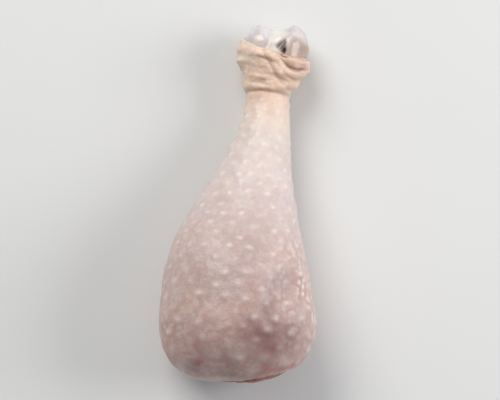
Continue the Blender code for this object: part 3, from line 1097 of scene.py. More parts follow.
@dataclass
class SkinSleeve:
    """The sleeve of skin and fat, with its follicles, wrinkles and bunched cuff."""

    shape: LegShape
    sides: int = 352
    coarse_pitch: float = 0.62
    fine_pitch: float = 0.38
    fine_from: float = 0.84
    rim_rows: int = 9
    mean_girth: float = 107.0
    column_spacing: float = 7.0
    follicle_rows: Table = ((0.0, 0.0), (36.0, 7.4), (65.0, 14.2), (100.0, 23.6), (127.0, 31.4))
    row_spacings: Table = ((0.0, 5.0), (36.0, 4.7), (65.0, 4.2), (100.0, 3.7), (127.0, 3.4))
    follicle_radius: float = 0.95
    follicle_height: float = 0.30
    follicle_zones: Table = (
        (0.0, 0.30),
        (15.0, 0.55),
        (35.0, 0.70),
        (60.0, 0.85),
        (95.0, 0.90),
        (104.0, 0.50),
        (110.0, 0.12),
        (122.0, 0.20),
        (126.0, 0.10),
    )
    follicle_wander: tuple[float, float, float] = (14.0, 1.7, 1.5)
    follicle_jitter: tuple[float, float] = (0.26, 0.34)
    follicle_stretch: tuple[float, float] = (1.25, 0.86)
    knee_growth: float = 0.45
    lump: float = 0.46
    ripple: float = 0.19
    curd_height: float = 0.42
    curd_size: float = 2.2
    curd_span: tuple[float, float, float, float] = (36.0, 21.0, 0.50, 0.42)
    knee_corner: tuple[float, ...] = (2.0, 5.0, 6.0, 2.75, 0.7)
    valley: tuple[tuple[float, float], tuple[float, float]] = ((12.4, 38.0), (1.9, 15.5))
    valley_depth: float = 0.5
    valley_reach: float = 3.6
    # Bruised patches that are partly painted shade: one on the shin side near the knee end, one over the
    # middle of the top.
    bruise_and_shade_patches: Table = ((9.0, 18.5, 11.5, 9.5, 1.0), (-4.0, 46.0, 9.0, 14.0, 0.3))
    blood_spots: Table = ((-16.4, 12.3, 1.7), (-14.5, 6.8, 1.5), (10.6, 12.3, 1.3), (9.2, 7.4, 1.9))
    # A dark red edge on the knee rim's shin side, partly painted shade.
    bloody_shaded_edge: tuple[float, float, float] = (1.5, 0.65, 0.6)
    cuff_span: tuple[float, float, float, float] = (107.5, 110.5, 122.0, 125.0)
    cuff_ridge: Table = (
        (-4.0, 124.6),
        (-2.8, 122.9),
        (0.5, 118.2),
        (2.7, 115.6),
        (8.5, 111.3),
        (11.0, 109.8),
    )
    cuff_ridge_slope: float = 0.74
    cuff_ridge_height: float = 0.62
    cuff_ridge_groove: float = 0.28
    cuff_wrinkle: float = 0.22
    cuff_lump: float = 0.22
    cuff_fine_wrinkle: float = 0.2
    calf_side_tuck: float = 0.7
    rim_roll: float = 0.55
    rim_groove: float = 0.45
    pocket: tuple[float, float, float] = (9.0, 117.2, 0.085)
    pocket_reach: float = 4.9
    pocket_depth: float = 1.35
    second_fold: tuple[float, float] = (0.45, 0.4)
    neck_ring: tuple[float, float, float] = (0.3, 0.15, 0.2)
    lip_bulge: float = 0.6
    knee_bulge: float = 0.4

    def turns(self) -> Array:
        """Angles of the sleeve's sides, from the line that it rests on."""
        return np.linspace(-QUARTER, 3 * QUARTER, self.sides, endpoint=False)

    def steps(self) -> Array:
        """Where the outside has a row, evenly spaced on the sleeve's top line.

        Returns:
            Shares of the sleeve's length.
        """
        share = np.linspace(0, 1, 4001)
        top = np.array([QUARTER])
        rim, ankle = self.shape.knee_rim(top), self.shape.ankle_rim(top)
        along = rim + (ankle - rim) * share
        _, z = self.shape.leg_point(along, np.full_like(share, QUARTER), 0.0)
        pitch = np.where(share[1:] < self.fine_from, self.coarse_pitch, self.fine_pitch)
        rows = np.concatenate([[0], np.cumsum(np.hypot(np.diff(along), np.diff(z)) / pitch)])
        return np.interp(np.linspace(0, rows[-1], round(rows[-1]) + 1), rows, share)

    def follicles(self, base: Array, arc: Array, along: Array) -> tuple[Array, Array]:
        """The follicle bumps, which stand in slanting rows.

        Args:
            base: Points of the smooth skin.
            arc: Distance round the leg from its top line.
            along: Distance from the knee end.

        Returns:
            Heights and how much of each point lies on a bump's top, which is painted paler, partly as a
            highlight.
        """
        girth = arc.max(axis=1, keepdims=True) - arc.min(axis=1, keepdims=True)
        column_pitch = self.column_spacing * np.sqrt(girth / self.mean_girth)
        row_pitch = smooth_through(along, *np.array(self.row_spacings).T)
        size, sideways, onward = self.follicle_wander
        u = (arc + sideways * cloud(base, size, salt=3)) / column_pitch
        v = smooth_through(along, *np.array(self.follicle_rows).T)
        v = v + onward * cloud(base, size, salt=7) / row_pitch
        row = np.rint(v).astype(np.int64)
        zone = smooth_through(along, *np.array(self.follicle_zones).T)
        broad = 1 + self.knee_growth * fade(along, 48, 18)
        (spread_u, spread_v), (wide, long) = self.follicle_jitter, self.follicle_stretch
        height, pale_tip_and_highlight = np.zeros(u.shape), np.zeros(u.shape)
        for row_step in (-1, 0, 1):
            j = row + row_step
            shift = 0.5 * (j % 2)
            column = np.rint(u - shift).astype(np.int64)
            for column_step in (-1, 0, 1):
                i = column + column_step
                jitter_u, jitter_v = chance(i, j, 5) - 0.5, chance(i, j, 9) - 0.5
                du = (u - i - shift - spread_u * jitter_u) * column_pitch
                dv = (v - j - spread_v * jitter_v) * row_pitch
                radius = self.follicle_radius * (0.8 + 0.45 * chance(i, j, 13)) * broad
                reach = np.hypot(du / wide, dv / long) / radius
                strength = zone * np.where(chance(i, j, 21) < 0.9, 0.5 + 0.75 * chance(i, j, 23), 0.15)
                bump = hill(reach, 0, 1.0) - 0.16 * hill(reach, 0, 0.3) - 0.16 * hill(reach, 2.0, 0.7)
                height += strength * bump
                # Each bump's top is painted paler, partly as a highlight.
                pale_tip_and_highlight += strength * hill(reach, 0, 0.85)
        return self.follicle_height * height, pale_tip_and_highlight

    def cuff_wrinkles(self, base: Array, along: Array, across: Array, top: Array) -> tuple[Array, Array]:
        """The cuff's slanting ridge and its wrinkles.

        Args:
            base: Points of the smooth skin.
            along: Distance from the knee end.
            across: Distance to the shin side.
            top: Share of the shown side.

        Returns:
            Heights and how deep in the creases each point is, which sets its painted shade.
        """
        rise, hold, sink, end = self.cuff_span
        cuff = fade(along, rise, hold) * (1 - fade(along, sink, end))
        run = self.cuff_ridge_slope * (along - smooth_through(across, *np.array(self.cuff_ridge).T))
        run = run + 0.5 * cloud(base, 5, salt=31)
        inside = top * fade(across, -5.5, -3.0) * fade(across, 12.5, 9.5)
        ridge, under = hill(run, 0.4, 1.5) * inside, hill(run, -1.6, 0.6) * inside
        wrinkles = cloud(base * np.array([0.3, 1.0, 0.3]), 1.5, salt=37, octaves=2)
        slanting = base + np.array([0.0, 0.45, 0.0]) * base[..., :1]
        wrinkles = wrinkles + 0.8 * cloud(slanting * np.array([0.35, 1.0, 0.35]), 2.6, salt=39)
        fine = cloud(base * np.array([0.4, 1.0, 0.4]), 1.0, salt=40, octaves=2)
        height = self.cuff_ridge_height * ridge - self.cuff_ridge_groove * under
        height += self.cuff_wrinkle * wrinkles * (1 - 0.5 * inside * hill(run, 2.6, 2.4))
        height += self.cuff_lump * cloud(base, 4.2, salt=41, octaves=2) + self.cuff_fine_wrinkle * fine
        # Painted shade in the groove under the ridge and in the wrinkles' troughs.
        crease_shade = 0.3 * under + 0.5 * fade(wrinkles + 0.7 * fine, -0.35, -1.05)
        return cuff * height, cuff * crease_shade

    def cuff_pocket(self, base: Array, along: Array, across: Array, top: Array) -> tuple[Array, Array]:
        """The smiling pocket under the shin side's lobe, with its full lip and a second fold below.

        Args:
            base: Points of the smooth skin.
            along: Distance from the knee end.
            across: Distance to the shin side.
            top: Share of the shown side.

        Returns:
            Heights and how deep in the creases each point is, which sets its painted shade.
        """
        centre, floor_along, bend = self.pocket
        smile = along - floor_along - bend * (across - centre) ** 2 + 0.25 * cloud(base, 2.5, salt=42)
        over = hill(across, centre, self.pocket_reach) * top
        fold, groove = self.second_fold
        height = self.pocket_depth * (0.8 * hill(smile, 2.2, 1.5) - hill(smile, 0, 0.55))
        height += fold * hill(smile, -1.7, 0.9) - groove * hill(smile, -3.3, 0.5)
        # Painted shade in the smile and in the second fold's groove, and over the lip under the shin side's
        # lobe.
        crease_shade = over * (1.6 * hill(smile, 0, 0.5) + 0.7 * hill(smile, -3.3, 0.4))
        crease_shade += 0.36 * top * hill(across, 8.0, 4.0) * hill(smile, 2.4, 2.2)
        return over * height, crease_shade

    def cuff_detail(self, base: Array, along: Array, across: Array) -> tuple[Array, Array]:
        """Wrinkles, pocket and rolled rim of the bunched cuff.

        Args:
            base: Points of the smooth skin.
            along: Distance from the knee end.
            across: Distance to the shin side.

        Returns:
            Heights and how deep in a crease each point is.
        """
        middle = self.shape.bone_ankle[1]
        top = fade(base[..., 2], middle - 2, middle + 3)
        height, crease_shade = self.cuff_wrinkles(base, along, across, top)
        pocket, pocket_crease_shade = self.cuff_pocket(base, along, across, top)
        height += pocket
        height -= self.calf_side_tuck * fade(along, 110, 114) * fade(along, 124, 119) * hill(across, -11, 4)
        before_rim = self.shape.ankle_rim(self.turns()) - along
        height += top * self.rim_roll * hill(before_rim, 1.3, 1.0) * hill(across, -2.0, 6.0)
        height -= top * self.rim_groove * hill(before_rim, 3.4, 0.6) * hill(across, -2.5, 4.5)
        # Painted shade in the pocket and in the groove behind the rolled rim.
        crease_shade += pocket_crease_shade + 0.4 * top * hill(before_rim, 3.4, 0.4) * hill(across, -2.5, 4.0)
        return height, crease_shade

    def neck_detail(self, base: Array, along: Array, angle: Array) -> tuple[Array, Array]:
        """Fine rings of wrinkles where the cuff starts.

        Args:
            base: Points of the smooth skin.
            along: Distance from the knee end.
            angle: Angle round the leg.

        Returns:
            Heights and how deep in a crease each point is.
        """
        past = along - self.shape.crease_along - self.shape.crease_tilt * np.sin(angle - 0.4)
        past = past + 0.7 * cloud(base, 5, salt=43)
        broken = 0.4 + 0.6 * fade(cloud(base, 9, salt=47), -0.5, 0.4)
        ring = hill(past, -0.4, 0.5) * broken
        rings = hill(past, -3.4, 0.5) * fade(cloud(base, 8, salt=53), 0.0, 0.5)
        deep, shallow, raised = self.neck_ring
        height = raised * hill(past, 0.9, 0.8) * broken - deep * ring - shallow * rings
        # Painted shade in the rings.
        return height, 0.45 * ring + 0.2 * rings

    def curdled_fat(self, base: Array, arc: Array, along: Array, angle: Array) -> tuple[Array, Masks]:
        """Grains of curdled fat that show through the skin on the shin side.

        Args:
            base: Points of the smooth skin.
            arc: Distance round the leg from its top line.
            along: Distance from the knee end.
            angle: Angle round the leg.

        Returns:
            Heights and the masks of the grains, whose pale tops are partly a painted highlight, and of the
            painted shade in the creases between them.
        """
        middle, reach, turn, turn_reach = self.curd_span
        curd = hill(along, middle, reach) * hill_round(angle, turn, turn_reach)
        curd = curd * fade(cloud(base, 6, salt=65), -0.9, 0.0)
        near, _ = cells(arc + 0.5 * cloud(base, 3, salt=67), along, self.curd_size, salt=29)
        grains = (1 - 3.4 * near**2) * fade(cloud(base, 4.5, salt=85), -0.5, 0.2)
        grit = 0.5 * cloud(base, 1.6, salt=87, octaves=2)
        height = self.curd_height * curd * (np.maximum(grains, -0.5) + grit)
        # Pale grain tops, partly a painted highlight, and painted shade between the grains.
        masks = {
            Mask.CURD: curd * fade(grains, 0.15, 0.8),
            Mask.CREASE_SHADE: 0.3 * curd * fade(grains, 0.05, -0.5),
        }
        return height, masks

    def from_valley(self, along: Array, across: Array) -> Array:
        """How far points are from the valley's middle line.

        Args:
            along: Distance from the knee end.
            across: Distance to the shin side.

        Returns:
            Distances.
        """
        (start_x, start_along), (end_x, end_along) = self.valley
        run_x, run_along = end_x - start_x, end_along - start_along
        share = (across - start_x) * run_x + (along - start_along) * run_along
        share = np.clip(share / (run_x**2 + run_along**2), 0, 1)
        return np.hypot(across - start_x - share * run_x, along - start_along - share * run_along)

    def bulb_detail(
        self, base: Array, arc: Array, along: Array, angle: Array, across: Array
    ) -> tuple[Array, Masks]:
        """Lumps, ripples and the shallow valley over the calf.

        Args:
            base: Points of the smooth skin.
            arc: Distance round the leg from its top line.
            along: Distance from the knee end.
            angle: Angle round the leg.
            across: Distance to the shin side.

        Returns:
            Heights and the masks of bloodstained spots, of bruised skin with painted shade in the valley and
            towards the knee end, and of curdled fat with its painted highlight and shade.
        """
        bulb = 1 - 0.7 * fade(along, 60, 100)
        height = self.lump * bulb * cloud(base, 10, salt=59, octaves=3)
        height += self.ripple * (1 - 0.5 * fade(along, 55, 95)) * cloud(base, 3.2, salt=61, octaves=3)
        curds, masks = self.curdled_fat(base, arc, along, angle)
        corner, corner_along, reach, turn, turn_reach = self.knee_corner
        height += curds + corner * hill(along, corner_along, reach) * hill_round(angle, turn, turn_reach)
        over = fade(base[..., 2], 18, 26)
        distance = self.from_valley(along, across)
        height -= self.valley_depth * hill(distance, 0, self.valley_reach) * over
        patch = np.zeros_like(height)
        for x, at_along, wide, long, strength in self.bruise_and_shade_patches:
            patch += strength * hill(np.hypot((across - x) / wide, (along - at_along) / long), 0, 1.0)
        # The calf's valley and the bruised patches, darkened partly as painted shade.
        bruise_and_shade = np.maximum(0.6 * hill(distance, 0, 5.0), patch) * over
        bruise_and_shade = bruise_and_shade * (0.88 + 0.35 * cloud(base, 5, salt=71, octaves=2))
        # Darker towards the knee end, partly painted shade.
        knee = fade(along, 20, 3) * (0.22 + 0.32 * cloud(base, 7, salt=73, octaves=2))
        spots = np.zeros_like(height)
        for x, at_along, reach in self.blood_spots:
            off = np.hypot(across - x, along - at_along) + 1.1 * cloud(base, 2.6, salt=75, octaves=2)
            spots += hill(off, 0, reach) * fade(base[..., 2], 8, 14)
        return height, masks | {Mask.STAIN_AND_SHADE: spots, Mask.BRUISE_AND_SHADE: np.maximum(bruise_and_shade, knee)}

    def rim(self, outside: Array, inner: Array, bulge: float) -> Array:
        """Rows that round an edge over from the outside to the inside.

        Args:
            outside: The outside's last two rows, the edge's row last.
            inner: The inside's first row.
            bulge: How far the edge stands out past the outside.

        Returns:
            The rows between them.
        """
        before, outer = outside
        beyond = outer - before
        beyond /= np.linalg.norm(beyond, axis=1, keepdims=True)
        turns = np.linspace(0, math.pi, self.rim_rows + 2)[1:-1, None, None]
        rows = outer + (inner - outer) * (1 - np.cos(turns)) / 2
        ragged = 1 + 0.35 * cloud(outer, 4, salt=79, octaves=2)[None, :, None]
        return rows + bulge * beyond * np.sin(turns) * ragged

    def inside(self, angle: Array) -> Array:
        """Rows of the sleeve's inside, which hugs the bone past the end of the meat.

        Args:
            angle: Angles round the leg.

        Returns:
            Points, from the ankle to the knee.
        """
        shape = self.shape
        along = shape.layer_along(angle)[::-1]
        under_skin = shape.under_skin(along, angle, shape.skin_depth(along - shape.knee_rim(angle)))
        bone_x, bone_z = shape.bone_point(along, angle[None, :], shape.gap)
        round_bone = np.stack([bone_x, along, bone_z], axis=-1)
        steps = np.array(shape.layer_steps)[::-1, None, None]
        share = fade(steps, shape.meat_end_step, shape.ankle_fit_step)
        return shape.place(*np.moveaxis(under_skin + (round_bone - under_skin) * share, -1, 0))

    def build(self) -> bpy.types.Object:
        """The sleeve's mesh.

        Returns:
            The new object.
        """
        shape = self.shape
        angle = self.turns()
        knee, ankle = shape.knee_rim(angle), shape.ankle_rim(angle)
        along = knee + (ankle - knee) * self.steps()[:, None]
        x, z = shape.leg_point(along, angle[None, :], -shape.broad_relief(along, angle[None, :]))
        base = shape.place(x, along, z)
        gaps = np.linalg.norm(np.diff(base, axis=1, prepend=base[:, :1]), axis=-1)
        arc = np.cumsum(gaps, axis=1)
        arc -= arc[:, self.sides // 2, None]
        seam = fade(np.abs(angle - QUARTER), math.pi, math.pi - 0.12)
        bumps, pale_tips_and_highlights = self.follicles(base, arc, along)
        cuff, cuff_crease_shade = self.cuff_detail(base, along, x)
        neck, neck_crease_shade = self.neck_detail(base, along, angle)
        bulb, masks = self.bulb_detail(base, arc, along, angle, x)
        clear_of_floor = fade(base[..., 2], 0.05, 1.2)
        height = (bumps * seam + cuff + neck + bulb) * clear_of_floor
        outside = base + grid_normals(base) * height[..., None]
        outside[..., 2] = np.maximum(outside[..., 2], 0.0)
        inside = self.inside(angle)
        ankle_rim = self.rim(outside[-2:], inside[0], self.lip_bulge)
        knee_rim = self.rim(outside[1::-1], inside[-1], self.knee_bulge)[::-1]
        points = np.concatenate([outside, ankle_rim, inside, knee_rim])
        # A dark red edge along the knee rim on the shin side, partly painted shade; the rim's turn and the
        # inside take it too.
        strength, turn, reach = self.bloody_shaded_edge
        ragged = 1 + 0.4 * cloud(outside[0], 5, salt=89, octaves=2)
        blood_and_shade = strength * hill_round(angle, turn, reach) * ragged
        masks[Mask.STAIN_AND_SHADE] += fade(along - knee, 4.8, 1.6) * blood_and_shade
        # Painted shade in the cuff's and the neck's creases.
        masks[Mask.CREASE_SHADE] += cuff_crease_shade + neck_crease_shade
        # Pale follicle tops, partly a painted highlight.
        masks[Mask.FOLLICLE] = pale_tips_and_highlights * seam
        masks[Mask.FAT] = fade(along - knee, 2.2, 0.2) * (0.35 + 0.5 * hill_round(angle, 2.7, 0.8))
        hidden = np.zeros((len(points) - len(outside), self.sides))
        rows = (len(ankle_rim), len(inside), len(knee_rim))
        cut_fat = np.repeat((0.35, 0.6, 0.8), rows)[:, None]
        under = {Mask.FAT: hidden + cut_fat, Mask.STAIN_AND_SHADE: hidden + blood_and_shade}
        masks = {mask: np.concatenate([value, under.get(mask, hidden)]) for mask, value in masks.items()}
        return mesh_piece("skin_sleeve", points, masks)


@dataclass
class MeatCore:
    """The muscle inside the skin, which swells out of the knee cut in bundles."""

    shape: LegShape
    sides: int = 320
    face_rows: int = 64
    lowest: float = 1.0
    bundles: Table = (
        (-17.5, 20.0, 8.0),
        (-15.0, 8.5, 6.0),
        (-3.0, 4.5, 5.5),
        (11.0, 8.0, 6.5),
        (16.0, 19.0, 7.0),
        (7.0, 28.0, 6.5),
        (-7.0, 28.5, 6.5),
    )
    bundle_swell: float = 1.3
    seam_depth: float = 1.1
    fibre_size: float = 1.5
    fibre_height: float = 0.16
    unevenness: float = 0.3
    mouth_share: float = 0.76

    def face_detail(self, x: Array, z: Array, inward: Array) -> tuple[Array, Masks]:
        """How far the face's bundles and fibres stand out.

        Args:
            x: Distances across.
            z: Heights.
            inward: Share of the way from the rim to the bone.

        Returns:
            Heights and the masks of fascia, of painted shade in the seams, along the rim and at the head, and
            of fat.
        """
        flat = np.stack([x, np.zeros_like(x), z], axis=-1)
        warp_x = x + 1.6 * cloud(flat, 7, salt=5)
        warp_z = z + 1.6 * cloud(flat, 7, salt=11)
        spans = [np.hypot(warp_x - at_x, warp_z - at_z) / size for at_x, at_z, size in self.bundles]
        nearest, second = np.sort(spans, axis=0)[:2]
        gap = second - nearest
        seam = hill(gap, 0, 0.13)
        fine, fine_next = cells(warp_x + 0.5 * cloud(flat, 1.6, salt=27), warp_z, self.fibre_size, salt=3)
        fibre = fade(fine_next - fine, 0.0, 0.35)
        open_face = fade(inward, 0.02, 0.16) * fade(inward, 1.0, 0.9)
        away = fade(inward, 0.05, 0.5)
        height = self.bundle_swell * (0.3 - np.minimum(nearest, 1.3) ** 2) - self.seam_depth * seam
        height = height * away + self.fibre_height * (fibre - 0.5)
        height += self.unevenness * cloud(flat, 3.2, salt=17, octaves=3)
        fatty = fade(cloud(flat, 4.5, salt=23), 0.1, 0.5)
        net = fade(cloud(flat, 3.0, salt=29, octaves=2), 0.0, 0.5)
        films = np.maximum(hill(gap, 0, 0.06) * 0.9, 0.28 * (1 - fibre) * net)
        at_head = hill(inward, 0.93, 0.05) * fade(cloud(flat, 5, salt=31), -0.6, 0.2)
        # Painted shade along the face's rim and where it meets the bone's head.
        edge_shade = 0.7 * fade(inward, 0.22, 0.0) + 0.4 * fade(inward, 0.97, 1.0)
        masks = {
            Mask.FASCIA: np.maximum(open_face * films, at_head),
            # painted shade beside the seams and along the rim and the head
            Mask.CREASE_SHADE: open_face * hill(gap, 0.12, 0.08) * 0.6 + edge_shade,
            Mask.FAT: open_face * seam * fatty,
        }
        return height * open_face, masks

    def over_head(self, angle: Array) -> tuple[Array, Array, Array]:
        """Rows just off the bone's head, from the meat's mouth out to the head's rim.

        Args:
            angle: Angles round the bone.

        Returns:
            Distances across, along and up.
        """
        shape = self.shape
        head_x, head_z = shape.bone_axis(shape.head_along)
        rim_x, rim_z = shape.bone_point(np.full_like(angle, shape.head_along), angle, shape.bone_gap)
        share = np.linspace(self.mouth_share, 1, 8)[:, None]
        rise = (shape.head_along - shape.head_tip) * np.sqrt(1 - share**2)
        along = shape.head_along - rise - shape.bone_gap + 0 * angle
        return head_x + (rim_x - head_x) * share, along, head_z + (rim_z - head_z) * share

    def build(self) -> bpy.types.Object:
        """The meat's mesh.

        Returns:
            The new object.
        """
        shape = self.shape
        angle = np.linspace(-QUARTER, 3 * QUARTER, self.sides, endpoint=False)
        side_along = shape.layer_along(angle)[shape.layer_steps.index(shape.meat_end_step) :: -1]
        depth = shape.skin_depth(side_along - shape.knee_rim(angle)) + shape.rim_gap
        side = shape.under_skin(side_along, angle, depth)
        rim_x, rim_along, rim_z = np.moveaxis(side[-1], -1, 0)
        flank_x, flank_along, flank_z = self.over_head(angle)
        inward = np.linspace(0, 1, self.face_rows)[:, None] ** 1.15
        x = rim_x + (flank_x[0] - rim_x) * inward
        z = rim_z + (flank_z[0] - rim_z) * inward
        along = rim_along + (shape.cut_along(x, z) - rim_along) * fade(inward, 0, 0.5)
        detail, face_masks = self.face_detail(x, z, inward)
        along = along - shape.meat_swell * (1 - (1 - inward) ** 2) - detail
        along = along + (flank_along[0] - along) * fade(inward, 0.72, 1.0)
        face = shape.place(x, along, np.maximum(z, self.lowest))
        channel_along = np.linspace(shape.head_along + 1, 80, 8)[:, None] + 0 * angle
        channel_along = np.concatenate([channel_along, side_along[:1]])
        channel_x, channel_z = shape.bone_point(channel_along, angle[None, :], shape.bone_gap)
        side = shape.place(*np.moveaxis(side[:-1], -1, 0))
        flank = shape.place(flank_x[1:], flank_along[1:], flank_z[1:])
        channel = np.concatenate([flank, shape.place(channel_x, channel_along, channel_z)])
        points = np.concatenate([side, face, channel])
        before, after = np.zeros((len(side), self.sides)), np.zeros((len(channel), self.sides))
        masks = {mask: np.concatenate([before, value, after]) for mask, value in face_masks.items()}
        return mesh_piece("meat_core", points, masks)


@dataclass
class LegBone:
    """The leg bone with its gristle: the head at the knee and the knuckle at the ankle."""

    shape: LegShape
    sides: int = 224
    head_rows: int = 34
    shaft_alongs: tuple[float, ...] = (12.0, 15.0, 18.0, 23.0, 28.0, 42.0, 60.0, 80.0, 97.0, 103.0, 107.0)
    neck_rows: int = 40
    end_rows: int = 56
    tendon_ridge: tuple[float, float] = (-2.4, 4.4)
    ridge_groove: float = 0.35
    ridge_rise: float = 0.75
    hollow: Table = ((0.2, 125.2), (4.3, 122.6), (4.2, 128.2))
    hollow_depth: float = 1.2
    pit: tuple[float, float, float] = (3.9, 124.0, 0.85)
    pit_depth: float = 1.2
    head_dish: tuple[float, float, float] = (4.4, 2.9, 1.25)
    head_pits: Table = ((-0.6, -2.6, 1.2, 1.0), (0.8, 3.4, 0.9, 0.8))
    head_pit_depth: float = 0.9

    def knuckle_detail(self, x: Array, along: Array, z: Array, base: Array) -> tuple[Array, Masks]:
        """Grooves, tendon ridge and hole of the knuckle.

        Args:
            x: Distances across.
            along: Distances from the knee end.
            z: Heights.
            base: The smooth bone's points.

        Returns:
            Heights and the masks of the tendon, of tan staining with painted shade, and of the painted shade
            in the hollow, pit and grooves.
        """
        low, high = self.tendon_ridge
        knuckle = fade(along, 116, 119)
        top = fade(z, 12.0, 15.5)
        wander = x + 0.7 * cloud(base, 4, salt=3) - 0.16 * (along - 128)
        grooves = hill(wander, low, 0.95) + hill(wander, high, 0.8)
        ridge = hill(wander, (low + high) / 2, (high - low) / 2.6)
        u = x + 0.3 * cloud(base, 1.8, salt=5)
        v = along + 0.3 * cloud(base, 1.8, salt=6)
        beyond = np.full_like(u, -9.0)
        for (from_x, from_along), (to_x, to_along) in zip(self.hollow, self.hollow[1:] + self.hollow[:1]):
            run_x, run_along = to_x - from_x, to_along - from_along
            side = (run_along * (u - from_x) - run_x * (v - from_along)) / math.hypot(run_x, run_along)
            beyond = np.maximum(beyond, side)
        hollow = fade(beyond, 0.35, -0.35) * top
        pit_x, pit_along, pit_reach = self.pit
        pit = hill(np.hypot(x - pit_x, along - pit_along), 0, pit_reach) * top
        strands = np.sin(ROUND * (0.8 * u - 0.6 * v) / 1.1)
        height = knuckle * top * (self.ridge_rise * ridge - self.ridge_groove * grooves)
        height -= hollow * (self.hollow_depth - 0.2 * strands) + self.pit_depth * pit
        height += 0.35 * knuckle * cloud(base, 6, salt=9, octaves=2)
        # Tan towards the cuff and on the underside of the shin side's lobe, partly real staining and partly
        # painted shade.
        lower_stain_and_shade = fade(along, 129.5, 121.5) * (0.8 + 0.5 * cloud(base, 4, salt=13, octaves=2))
        lower_stain_and_shade += 0.95 * fade(x, 4.5, 7.5) * fade(along, 131.0, 125.0)
        masks = {
            Mask.TENDON: knuckle * top * ridge * 0.9,
            # with a ring of painted shade round the hollow
            Mask.STAIN_AND_SHADE: knuckle * np.maximum(lower_stain_and_shade, 0.5 * hill(beyond, 0.5, 0.7) * top),
            # painted shade in the striped hollow, the pit and the grooves
            Mask.CREASE_SHADE: np.maximum(hollow * (0.66 - 0.16 * strands) + pit, 0.08 * knuckle * top * grooves),
        }
        return height, masks

    def head_detail(self, along: Array, base: Array, centre: Array) -> tuple[Array, Masks]:
        """The head's two shallow dishes and the ridge between them.

        Args:
            along: Distances from the knee end.
            base: The smooth bone's points.
            centre: The head's middle.

        Returns:
            Heights and the masks of stain and crevice.
        """
        at_head = fade(along, 12, 8)
        across, up = base[..., 0] - centre[0], base[..., 2] - centre[2]
        aside, reach, depth = self.head_dish
        dishes, pit = np.zeros_like(up), np.zeros_like(up)
        for x in (aside, -aside):
            dishes += hill(np.hypot(across - x, 0.8 * up), 0, reach)
        for x, z, size, strength in self.head_pits:
            pit += strength * hill(np.hypot(across - x, up - z), 0, size)
        height = 0.3 * cloud(base, 3.2, salt=19, octaves=3) - depth * dishes - self.head_pit_depth * pit
        # Darker in blotches where the head meets the meat and in the dishes and pits: painted shade, with
        # some staining.
        edge = fade(along, 5, 9.0)
        blotches = fade(cloud(base, 3.5, salt=83, octaves=2), 0.15, 0.6)
        masks = {
            Mask.STAIN_AND_SHADE: at_head * np.maximum(0.75 * edge, 0.35 * dishes + 0.4 * pit),
            Mask.CREASE_SHADE: at_head * (0.6 * pit + 0.45 * edge * blotches),
        }
        return at_head * height, masks

    def build(self) -> bpy.types.Object:
        """The bone's mesh.

        Returns:
            The new object.
        """
        shape = self.shape
        angle = np.linspace(0, ROUND, self.sides, endpoint=False)
        head_x, head_z = shape.bone_axis(shape.head_along)
        knuckle_x, knuckle_z = shape.bone_axis(shape.knuckle_along)
        rim_x, rim_z = shape.bone_point(np.full_like(angle, shape.head_along), angle)
        turn = np.linspace(0.03, QUARTER, self.head_rows)[:, None]
        x = head_x + (rim_x - head_x) * np.sin(turn)
        z = head_z + (rim_z - head_z) * np.sin(turn)
        dimple = shape.head_dimple * hill(x, head_x, 2.6) * hill(z, head_z + 3, 5)
        along = shape.head_along - (shape.head_along - shape.head_tip) * np.cos(turn) + dimple
        rows = [(x, along, z)]
        neck = np.linspace(self.shaft_alongs[-1] + 0.5, shape.knuckle_along, self.neck_rows)
        shaft = np.concatenate([self.shaft_alongs, neck])[:, None] + 0 * angle
        shaft_x, shaft_z = shape.bone_point(shaft, angle[None, :], grooved=True)
        rows.append((shaft_x, shaft, shaft_z))
        end_x, end_z = shape.bone_point(np.full_like(angle, shape.knuckle_along), angle, grooved=True)
        share = np.cos(np.linspace(0, QUARTER, self.end_rows + 1))[1:-1, None]
        x, z = knuckle_x + (end_x - knuckle_x) * share, knuckle_z + (end_z - knuckle_z) * share
        rows.append((x, shape.knuckle_end(x, z), z))
        x, along, z = (np.concatenate([row[k] for row in rows]) for k in range(3))
        base = shape.place(x, along, z)
        knuckle_height, masks = self.knuckle_detail(x, along, z, base)
        centre = shape.place(np.array(head_x), np.array(shape.head_along), np.array(head_z))
        head_height, head_masks = self.head_detail(along, base, centre)
        for mask, value in head_masks.items():
            masks[mask] = np.maximum(masks[mask], value)
        points = base + grid_normals(base) * (knuckle_height + head_height)[..., None]
        return mesh_piece("gristle_bone", points, masks, capped=True)


@dataclass
class LumpyRing:
    """A ring of tissue that follows an edge, thick and thin by turns."""

    name: str
    shape: LegShape
    sides: int = 18
    steps: int = 420
    salt: int = 0

    @staticmethod
    def outward(path: Array) -> Array:
        """Directions across the leg, from the middle of a path out through it.

        Args:
            path: Points of the path.

        Returns:
            Unit vectors.
        """
        away = path - path.mean(axis=0)
        away[:, 1] = 0
        return away / np.linalg.norm(away, axis=1, keepdims=True)

    def sweep(self, path: Array, outward: Array, radius: Array, flatness: float) -> bpy.types.Object:
        """Sweeps the ring's lumpy section round its path.

        Args:
            path: Points of the ring's middle line.
            outward: Unit vectors from the leg's middle out through the path.
            radius: The section's radius at each point of the path.
            flatness: How thick the section is across the leg, as a share of its radius.

        Returns:
            The new object.
        """
        turn = np.linspace(0, ROUND, self.sides, endpoint=False)[:, None]
        lengthways = np.array([0.0, 1.0, 0.0])
        spread = outward * np.cos(turn)[..., None] * flatness + lengthways * np.sin(turn)[..., None]
        points = path + spread * radius[None, :, None]
        lumps = cloud(points, 1.9, salt=self.salt, octaves=2)
        points = path + spread * (radius * (1 + 0.32 * lumps))[..., None]
        # Painted shade in the hollows between the lumps.
        masks = {Mask.CREASE_SHADE: fade(lumps, -0.25, -0.7).T}
        return mesh_piece(self.name, points.transpose(1, 0, 2), masks)


